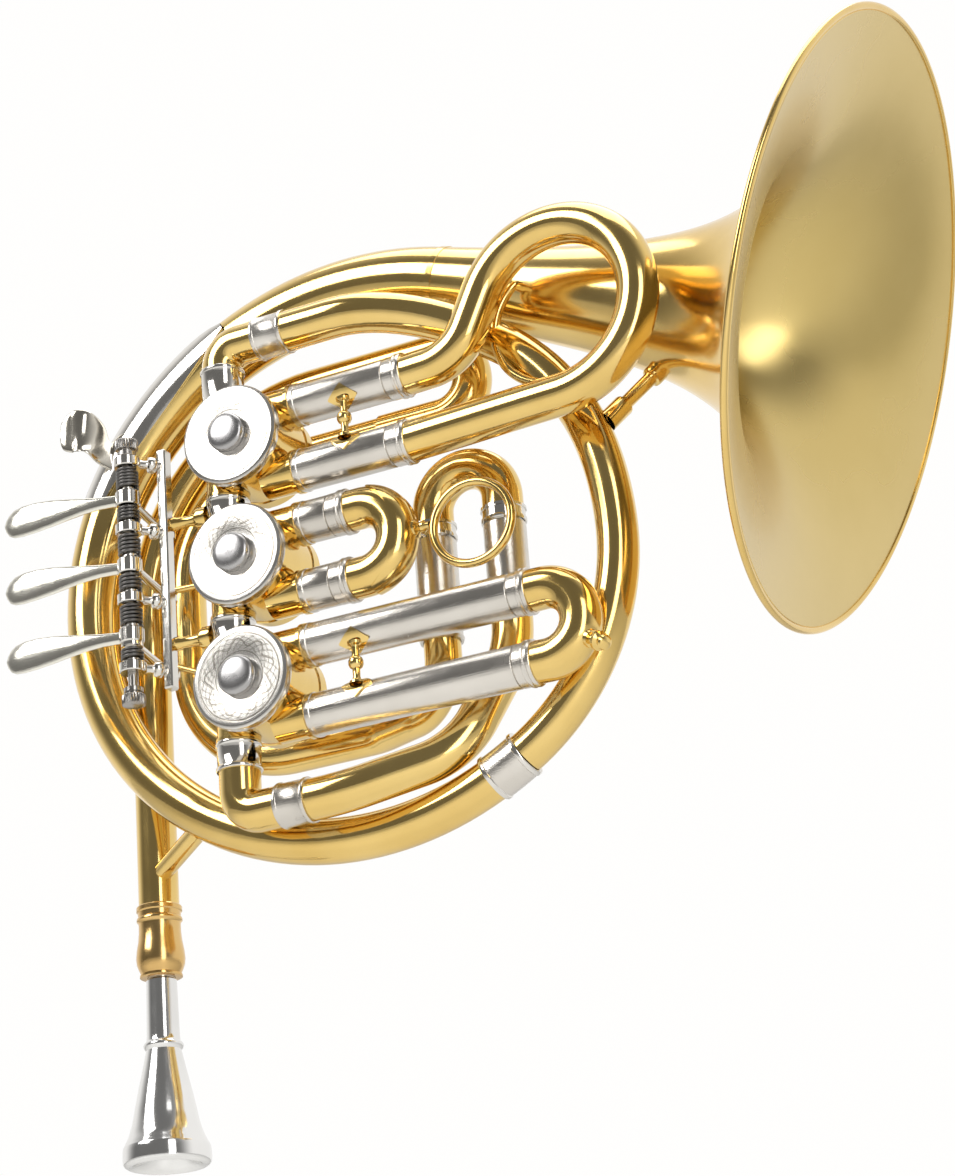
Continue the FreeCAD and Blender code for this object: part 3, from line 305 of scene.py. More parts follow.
def flare_radius(distance):
    """Outside radius of the bell at a distance behind its rim."""
    growth = (1 + distance / FLARE_LENGTH) ** -FLARE_POWER
    return FLARE_BASE_R + (BELL_R - FLARE_BASE_R) * growth


def bell_axis():
    pitch = math.radians(BELL_PITCH_DEG)
    yaw = math.radians(BELL_YAW_DEG)
    return V(math.cos(pitch) * math.cos(yaw), math.sin(yaw), -math.sin(pitch) * math.cos(yaw))


def branch_path():
    """The bell branch from the bell round to its ferrule, with the tube's radii."""
    back = BELL_RIM - bell_axis() * BELL_LENGTH
    spot = (back.x, back.z)
    first = 180 - BELL_PITCH_DEG
    heading = first
    tube = flare_radius(BELL_LENGTH)
    points = []
    radii = []
    for radius, stop, after in WRAP_BENDS:
        depths = [back.y + (WRAP_DEPTH_END - back.y) * (h - first) / (WRAP_DEPTH_STOP_DEG - first)
                  for h in (heading, stop)]
        run, sizes = arc_run(spot, heading, radius, stop, depths, (tube, after), 30)
        points.extend(run if not points else run[1:])
        radii.extend(sizes if not radii else sizes[1:])
        spot = (run[-1].x, run[-1].z)
        heading = stop
        tube = after
    return points, radii


def return_path():
    """The ferrule's points, then the return tube from it up and over to the first valve."""
    points, _ = branch_path()
    spot = (points[-1].x, points[-1].z)
    depth = WRAP_DEPTH_END - FERRULE_DROP
    radius, first, _ = WRAP_BENDS[2]
    band, _ = arc_run(spot, first, radius, BRANCH_FERRULE_STOP_DEG,
                      (WRAP_DEPTH_END + FERRULE_DROP, depth), (BRANCH_FERRULE_R, BRANCH_FERRULE_R), 8)
    spot = (band[-1].x, band[-1].z)
    heading = BRANCH_FERRULE_STOP_DEG - 360.0
    out = []
    for radius, stop, after in RETURN_BENDS:
        run, _ = arc_run(spot, heading, radius, stop, (depth, after), (TUBE_R, TUBE_R), RETURN_STEPS)
        if stop == 180.0:
            for i, point in enumerate(run):
                late = max(0.0, 2 * i / RETURN_STEPS - 1)
                point.y -= (after - PORT_PLANE) * late * late * (3 - 2 * late)
        out.extend(run if not out else run[1:])
        spot = (run[-1].x, run[-1].z)
        heading = stop
        depth = after
    return band, out


def polar(centre, radius, degrees):
    angle = math.radians(degrees)
    return centre + V(radius * math.cos(angle), 0, radius * math.sin(angle))


def circle_path(centre, radius, first, last, count):
    return [polar(centre, radius, first + (last - first) * i / count) for i in range(count + 1)]


# ---- materials
def node_material(name):
    material = bpy.data.materials.new(name)
    material.use_nodes = True
    nodes = material.node_tree.nodes
    return material, nodes, material.node_tree.links, nodes["Principled BSDF"]


def scaled_coords(nodes, links, scale):
    coords = nodes.new("ShaderNodeTexCoord")
    mapping = nodes.new("ShaderNodeMapping")
    mapping.inputs["Scale"].default_value = scale
    links.new(coords.outputs["Object"], mapping.inputs["Vector"])
    return mapping.outputs["Vector"]


def noise(nodes, links, vector, scale, detail=3.0, roughness=0.55):
    texture = nodes.new("ShaderNodeTexNoise")
    texture.inputs["Scale"].default_value = scale
    texture.inputs["Detail"].default_value = detail
    texture.inputs["Roughness"].default_value = roughness
    links.new(vector, texture.inputs["Vector"])
    return texture.outputs["Fac"]


def ramp(nodes, links, value, stops):
    node = nodes.new("ShaderNodeValToRGB")
    elements = node.color_ramp.elements
    while len(elements) < len(stops):
        elements.new(0.5)
    for element, (position, colour) in zip(elements, stops):
        element.position = position
        element.color = (*colour, 1.0)
    links.new(value, node.inputs["Fac"])
    return node.outputs["Color"]


def spread(nodes, links, value, low, high):
    node = nodes.new("ShaderNodeMapRange")
    node.inputs["From Min"].default_value = 0.3
    node.inputs["From Max"].default_value = 0.7
    node.inputs["To Min"].default_value = low
    node.inputs["To Max"].default_value = high
    links.new(value, node.inputs["Value"])
    return node.outputs["Result"]


def bump(nodes, links, value, shader, strength, distance):
    node = nodes.new("ShaderNodeBump")
    node.inputs["Strength"].default_value = strength
    node.inputs["Distance"].default_value = distance
    links.new(value, node.inputs["Height"])
    links.new(node.outputs["Normal"], shader.inputs["Normal"])


def metal(name, dark, light, rough, coat=0.0, grain=(40, 40, 40), grain_strength=0.02, cloud=25.0):
    """Polished metal with faint clouding, smudges and a fine grain along chosen axes."""
    material, nodes, links, shader = node_material(name)
    shader.inputs["Metallic"].default_value = 1.0
    even = scaled_coords(nodes, links, (1, 1, 1))
    clouds = noise(nodes, links, even, cloud, 4.0)
    colour = ramp(nodes, links, clouds, ((0.3, dark), (0.7, light)))
    links.new(colour, shader.inputs["Base Color"])
    smudges = noise(nodes, links, even, cloud * 2.3, 5.0, 0.65)
    links.new(spread(nodes, links, smudges, rough[0], rough[1]), shader.inputs["Roughness"])
    lines = noise(nodes, links, scaled_coords(nodes, links, grain), 60.0, 2.0)
    bump(nodes, links, lines, shader, grain_strength, 0.0002)
    shader.inputs["Coat Weight"].default_value = coat
    shader.inputs["Coat Roughness"].default_value = 0.05
    return material


BRASS = metal("lacquered_brass", (0.72, 0.49, 0.15), (0.83, 0.60, 0.22), (0.09, 0.16), coat=0.25)
BRASS_BELL = metal("bell_outside_brass", (0.72, 0.49, 0.15), (0.82, 0.59, 0.22), (0.12, 0.20), coat=0.2)
BRASS_RED = metal("receiver_brass", (0.62, 0.38, 0.13), (0.74, 0.50, 0.20), (0.14, 0.22), coat=0.1)
NICKEL = metal("polished_nickel", (0.66, 0.63, 0.58), (0.78, 0.75, 0.70), (0.07, 0.14))
NICKEL_BRUSHED = metal("brushed_nickel", (0.60, 0.56, 0.50), (0.74, 0.70, 0.64), (0.16, 0.28),
                       grain=(2, 60, 60), grain_strength=0.25)
TOUCH = metal("touch_plate_nickel", (0.76, 0.73, 0.64), (0.86, 0.83, 0.74), (0.12, 0.22),
              grain=(3, 40, 40), grain_strength=0.06)
# Darker, warmer copy of the nickel for the finger hook: painted shade for the brownish shaded look of the
# curled strip.
NICKEL_SHADED = metal("shaded_nickel", (0.58, 0.54, 0.46), (0.70, 0.66, 0.58), (0.10, 0.18))
SILVER = metal("silver_plate", (0.74, 0.73, 0.71), (0.84, 0.83, 0.81), (0.08, 0.17))
DARK_STEEL = metal("dark_steel", (0.10, 0.095, 0.09), (0.20, 0.19, 0.18), (0.25, 0.4), grain_strength=0.05)
STEEL = metal("rod_steel", (0.34, 0.32, 0.30), (0.48, 0.46, 0.43), (0.18, 0.3), grain_strength=0.05)
STEEL_DOME = metal("boss_nickel", (0.38, 0.37, 0.37), (0.50, 0.49, 0.48), (0.22, 0.34))


def make_bell_inside():
    """Satin inside of the bell, with a fine noise grain in its bump."""
    material, nodes, links, shader = node_material("bell_inside_brass")
    shader.inputs["Metallic"].default_value = 1.0
    even = scaled_coords(nodes, links, (1, 1, 1))
    clouds = noise(nodes, links, even, 9.0, 5.0, 0.6)
    colour = ramp(nodes, links, clouds, ((0.3, (0.58, 0.43, 0.15)), (0.7, (0.68, 0.52, 0.21))))
    links.new(colour, shader.inputs["Base Color"])
    links.new(spread(nodes, links, clouds, 0.22, 0.32), shader.inputs["Roughness"])
    shader.inputs["Coat Weight"].default_value = 0.15
    shader.inputs["Coat Roughness"].default_value = 0.12
    streaks = noise(nodes, links, even, 140.0, 3.0)
    bump(nodes, links, streaks, shader, 0.03, 0.0003)
    return material


def make_cork():
    material, nodes, links, shader = node_material("cork")
    even = scaled_coords(nodes, links, (1, 1, 1))
    grains = noise(nodes, links, even, 900.0, 6.0, 0.7)
    links.new(ramp(nodes, links, grains, ((0.35, (0.25, 0.14, 0.07)), (0.6, (0.52, 0.35, 0.2)))),
              shader.inputs["Base Color"])
    shader.inputs["Roughness"].default_value = 0.85
    bump(nodes, links, grains, shader, 0.4, 0.0003)
    return material


def make_engraved(name, centre):
    """Nickel cap face: polished, with a band of scrolling engraving between two rings."""
    material, nodes, links, shader = node_material(name)
    shader.inputs["Metallic"].default_value = 1.0
    coords = nodes.new("ShaderNodeTexCoord")
    shift = nodes.new("ShaderNodeVectorMath")
    shift.operation = "SUBTRACT"
    shift.inputs[1].default_value = centre
    links.new(coords.outputs["Object"], shift.inputs[0])
    parts = nodes.new("ShaderNodeSeparateXYZ")
    links.new(shift.outputs["Vector"], parts.inputs["Vector"])

    def calc(operation, first, second=None, third=None):
        node = nodes.new("ShaderNodeMath")
        node.operation = operation
        for socket, value in zip(node.inputs, (first, second, third)):
            if value is None:
                continue
            if isinstance(value, (int, float)):
                socket.default_value = value
            else:
                links.new(value, socket)
        return node.outputs[0]

    x = parts.outputs["X"]
    z = parts.outputs["Z"]
    radius = calc("SQRT", calc("ADD", calc("MULTIPLY", x, x), calc("MULTIPLY", z, z)))
    angle = calc("ARCTAN2", z, x)
    mm = calc("MULTIPLY", radius, 1000.0)
    vine = calc("SINE", calc("MULTIPLY", angle, 9.0))
    wander = calc("MULTIPLY_ADD", vine, 1.3, 10.9)
    stem = calc("ABSOLUTE", calc("SUBTRACT", mm, wander))
    stem_line = calc("LESS_THAN", stem, 0.22)
    curl = calc("SINE", calc("ADD", calc("MULTIPLY", angle, 27.0), calc("MULTIPLY", mm, 2.6)))
    curl_line = calc("GREATER_THAN", curl, 0.72)
    leaf = calc("SINE", calc("SUBTRACT", calc("MULTIPLY", angle, 18.0), calc("MULTIPLY", mm, 4.4)))
    leaf_line = calc("GREATER_THAN", leaf, 0.80)
    pattern = calc("MAXIMUM", stem_line, calc("MULTIPLY", calc("ADD", curl_line, leaf_line), 0.5))
    inside = calc("MULTIPLY", calc("GREATER_THAN", mm, 8.6), calc("LESS_THAN", mm, 13.2))
    ring = calc("ADD", calc("COMPARE", mm, 13.7, 0.16), calc("COMPARE", mm, 8.1, 0.16))
    cut = calc("MAXIMUM", calc("MULTIPLY", pattern, inside), ring)
    mix = nodes.new("ShaderNodeMix")
    mix.data_type = "RGBA"
    mix.inputs["A"].default_value = (0.74, 0.71, 0.66, 1)
    mix.inputs["B"].default_value = (0.36, 0.33, 0.28, 1)
    links.new(cut, mix.inputs["Factor"])
    links.new(mix.outputs["Result"], shader.inputs["Base Color"])
    clouds = noise(nodes, links, coords.outputs["Object"], 70.0, 4.0)
    links.new(spread(nodes, links, clouds, 0.16, 0.26), shader.inputs["Roughness"])
    bump(nodes, links, calc("SUBTRACT", 1.0, cut), shader, 0.35, 0.0002)
    return material


BELL_INSIDE = make_bell_inside()
CORK = make_cork()


# ---- bell
def build_bell():
    axis = bell_axis() * -1
    around = int(256 * FINE)
    steps = int(110 * FINE)
    outer = []
    for i in range(steps + 1):
        s = BELL_LENGTH * (i / steps) ** 1.6
        outer.append((s, flare_radius(s)))
    outside = lathe("bell_outside", outer, BELL_RIM, axis, BRASS_BELL, around=around)
    inner = [(s, r - BELL_WALL) for s, r in outer]
    verts, faces = lathe_data(inner, BELL_RIM, axis, around)
    inside = add_mesh("bell_inside", verts, [face[::-1] for face in faces], BELL_INSIDE)
    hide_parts("bell_flare")
    bead = []
    for k in range(25):
        turn = math.radians(-100 + 280 * k / 24)
        bead.append((-1.15 * math.sin(turn) + 0.5, BELL_R + 0.35 + 1.25 * math.cos(turn)))
    bead = [(0.4, BELL_R - BELL_WALL)] + [(-0.35, BELL_R - 0.9)] + bead[4:]
    rim = lathe("bell_rim_bead", bead, BELL_RIM, axis, BRASS_BELL, around=around)
    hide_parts("bell_rim")


def ferrule(name, start, end, radius, material, body="horn", ring=0.35, band=1.3):
    """Sleeve with a rounded ring at each end."""
    axis = end - start
    length = axis.length
    r = radius
    profile = [(0, r - 0.9), (0, r + ring * 0.5), (0.3, r + ring), (band - 0.3, r + ring),
               (band, r + ring * 0.4), (band + 0.2, r), (length - band - 0.2, r),
               (length - band, r + ring * 0.4),
               (length - band + 0.3, r + ring), (length - 0.3, r + ring), (length, r + ring * 0.5),
               (length, r - 0.9)]
    return lathe(name, profile, start, axis, material, body)


def build_branch():
    points, radii = branch_path()
    tube = sweep("bell_branch", points, radii, BRASS, around=72)
    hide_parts("bell_branch_upper", "bell_branch_left", "bell_branch_lower")
    joint = points[0]
    ahead = (points[1] - points[0]).normalized()
    r = flare_radius(BELL_LENGTH)
    lathe("bell_seam_ring", [(-1.2, r - 0.2), (-1.0, r + 0.22), (1.0, r + 0.22), (1.2, r - 0.2)],
          joint, ahead, BRASS)
    band, tube_points = return_path()
    sleeve = sweep("branch_ferrule", band, BRANCH_FERRULE_R, NICKEL_BRUSHED)
    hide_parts("bell_branch_ferrule")
    ring = [(-0.2, 6.2), (-0.2, 7.4), (0.1, 7.6), (1.0, 7.6), (1.3, 7.3), (1.3, 6.9)]
    for i, spot in enumerate((band[0], band[-1])):
        way = (band[-1] - band[0]).normalized() * (1 if i == 0 else -1)
        lathe("branch_ferrule_ring_%d" % i, ring, spot, way, NICKEL)
    end = tube_points[-1]
    path = tube_points + [V(15.8, end.y, end.z)]
    back = sweep("return_tube", path, TUBE_R, BRASS, around=64)
    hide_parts("return_tube_lower", "return_tube_upper")
    return end


def build_ports(top):
    """Elbows, ferrules and the short nickel tubes in the valve column."""
    elbow_r = 7.0
    high = rounded_path([V(5.4, PORT_PLANE, top.z), V(PORT_X, PORT_PLANE, top.z),
                         V(PORT_X, PORT_PLANE, 68.4)], [elbow_r])
    low = rounded_path([V(PORT_X, PORT_PLANE, -64.9), V(PORT_X, PORT_PLANE, ENTRY_Z),
                        V(5.5, PORT_PLANE, ENTRY_Z)], [elbow_r])
    first = sweep("exit_elbow", high, TUBE_R, BRASS)
    sweep("entry_elbow", low, TUBE_R, BRASS)
    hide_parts("valve_elbows")
    ring = ferrule("exit_ferrule", V(5.2, PORT_PLANE, top.z), V(15.8, PORT_PLANE, top.z),
                   FERRULE_R, NICKEL_BRUSHED)
    ferrule("entry_ferrule", V(5.4, PORT_PLANE, ENTRY_Z), V(15.6, PORT_PLANE, ENTRY_Z),
            FERRULE_R, NICKEL_BRUSHED)
    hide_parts("tube_ferrules")
    spans = ((56.0, 68.5), (16.0, 24.0), (-24.0, -16.0), (-65.0, -56.0))
    for i, (a, b) in enumerate(spans):
        port = ferrule("valve_port_%d" % (i + 1), V(PORT_X, PORT_PLANE, a), V(PORT_X, PORT_PLANE, b),
                       FERRULE_R, NICKEL)
        if i == 0:
            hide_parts("valve_ports")


def build_guard():
    """Leaf of sheet nickel laid on the front of the branch's upper left, under the palm."""
    points, radii = branch_path()
    frames = frames_along(points)
    first = 20
    last = 37
    facing = V(-0.226, -0.942, 0.248)
    rows = []
    across = 24
    for layer in (1.25, 0.15):
        for i in range(first, last + 1):
            part = (i - first) / (last - first)
            shape = math.sin(math.pi * (0.02 + 0.80 * part)) ** 0.75
            width = math.radians(46) * shape + 0.02
            point = points[i]
            tangent = frames[i][0]
            side = tangent.cross(facing).normalized()
            outward = side.cross(tangent).normalized()
            for k in range(across + 1):
                angle = width * (2 * k / across - 1)
                reach = radii[i] + layer
                off = outward * (reach * math.cos(angle)) + side * (reach * math.sin(angle))
                rows.append(point + off)
    long = last - first
    step = (long + 1) * (across + 1)
    edge, edge_two = side_lines(long, across)
    faces = [quad[::-1] for quad in grid_quads(0, long, across)] + grid_quads(step, long, across)
    faces += skirt_quads(edge, step)
    faces += [quad[::-1] for quad in skirt_quads(edge_two, step)]
    guard = add_mesh("hand_guard_leaf", rows, faces, NICKEL)
    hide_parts("hand_guard")


def ribbon(name, stations, material, body="horn", ridge=0.0, around=24):
    """Rounded strip; stations are (centre, width direction, half width, half thickness)."""
    centres = [s[0] for s in stations]
    verts = []
    for i, (centre, wide, half, thick) in enumerate(stations):
        before = centres[max(i - 1, 0)]
        after = centres[min(i + 1, len(centres) - 1)]
        tangent = (after - before).normalized()
        wide = (wide - tangent * wide.dot(tangent)).normalized()
        up = tangent.cross(wide)
        for k in range(around):
            angle = 2 * math.pi * k / around
            c = math.cos(angle)
            s = math.sin(angle)
            x = half * math.copysign(abs(c) ** 0.55, c)
            y = thick * math.copysign(abs(s) ** 0.7, s) - ridge * (1 - (x / half) ** 2)
            verts.append(centre + wide * x + up * y)
    faces = [tuple(range(around))[::-1]]
    faces += ring_quads(len(stations), around)
    last = (len(stations) - 1) * around
    faces.append(tuple(range(last, last + around)))
    return add_mesh(name, verts, faces, material, body, sharp=60.0)


def build_hook():
    """Sheet strip that leaves the guard and curls forward into the little finger's paddle."""
    shape = ((-71.9, 17.0, 66.4, 0, 3.2), (-70.9, 17.0, 66.2, 0, 5.6), (-69.0, 17.3, 65.8, 0, 7.2),
             (-65.6, 18.2, 65.2, 0, 7.8), (-63.0, 20.8, 63.0, -0.1, 7.4), (-61.0, 24.0, 59.0, -0.25, 6.0),
             (-58.5, 26.5, 56.5, -0.4, 5.0), (-55.8, 28.5, 56.0, -0.4, 4.6))
    stations = [(V(-72.2, 17.0, 66.4), V(0, 0, 1), 1.4, 0.5)]
    for i in range(len(shape) - 1):
        rows = [Vector(shape[min(max(k, 0), len(shape) - 1)]) for k in (i - 1, i, i + 1, i + 2)]
        for k in range(5):
            x, y, z, lean, half = catmull(*rows, k / 5)
            stations.append((V(x, y, z), V(lean, 0, 1), half, 0.65))
    # The hook strip takes the darker, warmer nickel as painted shade.
    hook = ribbon("finger_hook_strip", stations, NICKEL_SHADED)
    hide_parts("finger_hook")


# ---- valves
def build_valves():
    for i, z in enumerate(VALVE_Z):
        number = str(i + 1)
        centre = V(0, 0, z)
        profile = [(3.2, 13.2), (3.2, 15.2), (3.9, 15.7), (6.0, 15.7), (6.6, 15.2), (21.8, 15.2),
                   (22.3, 15.6), (24.0, 15.6), (24.0, 13.2)]
        parts = [lathe_data(profile, centre, Y, 96)]
        for side in (1, -1):
            leg_z = z + side * LEG_SPREAD - LEG_DROP
            flange = [(6.0, TUBE_R), (12.4, TUBE_R), (14.6, TUBE_R), (16.3, TUBE_R), (16.3, 7.0),
                      (17.4, 7.0), (17.4, 6.2)]
            parts.append(lathe_data(flange, V(0, PORT_PLANE, leg_z), X, 48))
            port = [(6.0, TUBE_R), (15.0, TUBE_R), (15.0, 6.9), (15.9, 6.9), (15.9, 6.0)]
            parts.append(lathe_data(port, V(PORT_X, PORT_PLANE, z), Z * side, 48))
        casing = gather("casing_" + number, parts, BRASS)
        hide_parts("valve_casing_" + number)
        engraved = make_engraved("engraved_cap_" + number, at(centre))
        face = [(3.15, 13.0), (3.15, 16.1), (2.9, 16.4), (0.9, 16.4), (0.35, 16.15), (0.05, 15.6),
                (0.0, 15.0), (0.0, 14.3), (0.22, 14.15), (0.22, 13.95), (0.0, 13.8), (0.0, 8.0),
                (0.12, 7.2), (0.12, 5.6)]
        cap = lathe("cap_" + number, face, centre, Y, engraved, around=128)
        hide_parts("valve_cap_" + number)
        dome = [(0.15, 6.0), (-0.5, 6.2), (-0.9, 6.3), (-2.0, 6.25), (-2.7, 5.9), (-3.15, 5.1), (-3.4, 3.9),
                (-3.55, 2.2), (-3.6, 0.01)]
        lathe("cap_boss_" + number, dome, centre, Y, STEEL_DOME)


# ---- slides
def leg_heights(index):
    middle = VALVE_Z[index] - LEG_DROP
    return middle + LEG_SPREAD, middle - LEG_SPREAD


def build_slides():
    bodies = ("first_slide", "second_slide", "third_slide")
    for i in range(3):
        number = str(i + 1)
        stop = SLIDE_STOPS[i]
        end = SLIDE_ENDS[i]
        legs = []
        inner = []
        rings = []
        for z in leg_heights(i):
            origin = V(0, PORT_PLANE, z)
            r = LEG_R
            legs.append(lathe_data([(LEG_START, 5.9), (LEG_START, r), (LEG_START + 1.0, r + 0.25),
                                    (LEG_START + 1.9, r + 0.25), (LEG_START + 2.2, r), (end - 0.3, r),
                                    (end, r - 0.2), (end, 6.2)], origin, X, 64))
            start = stop - 6 - INNER_LEG_OVERLAPS[i]
            inner.append(lathe_data([(start, 5.7), (start, INNER_LEG_R), (end + 0.4, INNER_LEG_R)],
                                    origin, X, 48))
            lip = end + 0.35
            rings.append(lathe_data([(lip, 6.15), (lip, 6.55), (lip + 0.25, 6.75), (stop - 3.0, 6.75),
                                     (stop - 2.8, 7.05), (stop - 2.5, 7.15), (stop - 2.1, 7.15),
                                     (stop - 1.8, 6.9), (stop - 1.4, 6.9), (stop - 1.1, 7.15),
                                     (stop - 0.5, 7.15), (stop - 0.1, 6.9), (stop, 6.35)], origin, X, 64))
        leg = gather("slide_%s_outer_legs" % number, legs, NICKEL_BRUSHED)
        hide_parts("slide_%s_legs" % number)
        tube = gather("slide_%s_inner_legs" % number, inner, NICKEL, bodies[i])
        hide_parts("slide_%s_stockings" % number)
        gather("slide_%s_ferrules" % number, rings, NICKEL_BRUSHED, bodies[i])
    build_loop()
    for i in (1, 2):
        high, low = leg_heights(i)
        x = SLIDE_STOPS[i]
        centre = V(x + 3.5, PORT_PLANE, (high + low) / 2)
        path = [V(x - 0.5, PORT_PLANE, high)] + circle_path(centre, LEG_SPREAD, 90, -90, 40)
        path.append(V(x - 0.5, PORT_PLANE, low))
        bow = sweep("slide_%d_bow" % (i + 1), path, TUBE_R, BRASS, bodies[i], around=64)
        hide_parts("slide_%d_crook" % (i + 1))
    build_pull_ring()
    build_knob()


def build_loop():
    """The wide loop of the first slide: S bend up, round, and straight back, leaning forward."""
    high, low = leg_heights(0)
    entry = math.radians(LOOP_ENTRY_DEG)
    lean_x = 57.1
    centre = V(LOOP_CENTRE_X, PORT_PLANE, low + LOOP_R)
    across = LOOP_R + (centre.z - high) * math.cos(entry)
    corner = V(centre.x - across / math.sin(entry), PORT_PLANE, high)
    touch = centre + V(-math.sin(entry), 0, math.cos(entry)) * LOOP_R
    flat = rounded_path([V(lean_x, PORT_PLANE, high), corner, touch], [15.5])
    first = math.degrees(math.atan2(touch.z - centre.z, touch.x - centre.x))
    flat += circle_path(centre, LOOP_R, first, -90.0, 90)[1:]
    flat.append(V(lean_x, PORT_PLANE, low))
    hinge = V(lean_x, PORT_PLANE - 20.0, 0)
    tilt = Matrix.Rotation(math.radians(LOOP_LEAN_DEG), 3, "Z")
    leaned = [hinge + tilt @ (p - hinge) for p in flat]
    joint_x = SLIDE_STOPS[0] - 0.5
    path = [V(joint_x, PORT_PLANE, high)] + leaned + [V(joint_x, PORT_PLANE, low)]
    loop = sweep("slide_1_loop", path, TUBE_R, BRASS, "first_slide", around=72)
    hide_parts("slide_1_crook")


def build_pull_ring():
    """Wire ring, its turned stem and the plate that wraps the second slide's bow."""
    high, low = leg_heights(1)
    middle = (high + low) / 2
    centre = V(74.4, PORT_PLANE, middle - 2.6)
    path = circle_path(centre, 12.9, 0, 360, 96)
    ring = sweep("slide_2_ring", path[:-1] + [path[0]], 1.4, BRASS, "second_slide",
                 around=24, closed_ends=False)
    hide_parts("slide_2_pull_ring")
    apex = SLIDE_STOPS[1] + 3.5 + LEG_SPREAD + TUBE_R
    stem = [(-0.8, 3.2), (0.3, 3.1), (1.2, 2.9), (1.5, 2.1), (2.1, 1.4), (2.8, 1.9), (3.6, 1.9),
            (4.3, 1.3), (5.4, 1.2)]
    lathe("slide_2_ring_stem", stem, V(apex - 0.6, PORT_PLANE, middle), X, BRASS, "second_slide", 40)
    bow = V(SLIDE_STOPS[1] + 3.5, PORT_PLANE, middle)
    verts = []
    rows = 40
    across = 20
    for layer in (0.55, -0.2):
        for i in range(rows + 1):
            part = 2 * i / rows - 1
            turn = math.radians(78 * part)
            out = V(math.cos(turn), 0, math.sin(turn))
            width = math.radians(78) * (1 - 0.55 * part * part)
            for k in range(across + 1):
                angle = width * (2 * k / across - 1)
                reach = TUBE_R + layer
                outward = LEG_SPREAD + reach * math.cos(angle)
                verts.append(bow + out * outward + Y * (reach * math.sin(angle)))
    step = (rows + 1) * (across + 1)
    faces = grid_quads(0, rows, across) + grid_quads(step, rows, across)
    ends = (list(range(across + 1)), [rows * (across + 1) + k for k in range(across + 1)])
    for line in side_lines(rows, across) + ends:
        faces += skirt_quads(line, step)
    add_mesh("slide_2_guard_plate", verts, faces, BRASS, "second_slide")


def build_knob():
    low = leg_heights(2)[1]
    direction = V(0.80, -0.36, -0.48).normalized()
    root = V(SLIDE_STOPS[2] + 3.5, PORT_PLANE, low + LEG_SPREAD) + V(0.86, 0, -0.51) * LEG_SPREAD
    profile = [(-0.8, 3.0), (0.2, 2.8), (0.9, 2.6), (1.2, 1.7), (2.4, 1.5), (2.8, 2.4), (3.3, 2.95),
               (4.3, 2.95), (4.8, 2.3), (5.1, 1.7), (5.5, 1.8), (6.2, 2.35), (7.0, 2.1), (7.5, 1.3),
               (7.7, 0.01)]
    seat = root + direction * (TUBE_R - 0.4)
    knob = lathe("slide_3_pull_knob", profile, seat, direction, BRASS, "third_slide", 48)
    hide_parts("slide_3_knob")


def build_leg_braces():
    """Turned posts between the slide legs, with pointed flanges."""
    parts = []
    for x, index in ((36.5, 0), (35.5, 2)):
        high, low = leg_heights(index)
        front = PORT_PLANE - 5.2
        top = high - 4.6
        bottom = low + 4.6
        h = top - bottom
        half_post = [(0, 2.4), (0.8, 2.2), (1.3, 1.4), (2.2, 1.1), (h / 2 - 2.0, 1.2),
                     (h / 2 - 1.5, 1.9), (h / 2 - 0.6, 2.3)]
        post = half_post + [(h - s, r) for s, r in reversed(half_post)]
        parts.append(lathe_data(post, V(x, front, bottom), Z, 32))
        for z, way in ((high, -1), (low, 1)):
            verts = []
            across = 16
            long = 12
            for layer in (0.75, -0.1):
                for i in range(long + 1):
                    u = 2 * i / long - 1
                    half = math.radians(36) * (1 - abs(u)) + 0.03
                    for k in range(across + 1):
                        angle = math.radians(-90 + way * 38) + half * (2 * k / across - 1)
                        reach = LEG_R + layer
                        verts.append(V(x + 5.0 * u, PORT_PLANE + reach * math.sin(angle),
                                       z + reach * math.cos(angle)))
            step = (long + 1) * (across + 1)
            faces = grid_quads(0, long, across) + grid_quads(step, long, across)
            for line in side_lines(long, across):
                faces += skirt_quads(line, step)
            parts.append((verts, faces))
    brace = gather("leg_braces", parts, BRASS)
    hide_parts("slide_leg_braces")


# ---- rear tubing
def build_entry():
    start = V(15.6, PORT_PLANE, ENTRY_Z)
    path = rounded_path([start, V(26, PORT_PLANE, ENTRY_Z), V(60, 24, -70),
                         V(TUNING_X[1], TUNING_DEPTH, -38), V(TUNING_X[1], TUNING_DEPTH, -26)],
                        [40.0, 26.0, 34.0])
    tube = sweep("entry_tube", path, TUBE_R, BRASS, around=64)
    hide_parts("entry_branch")


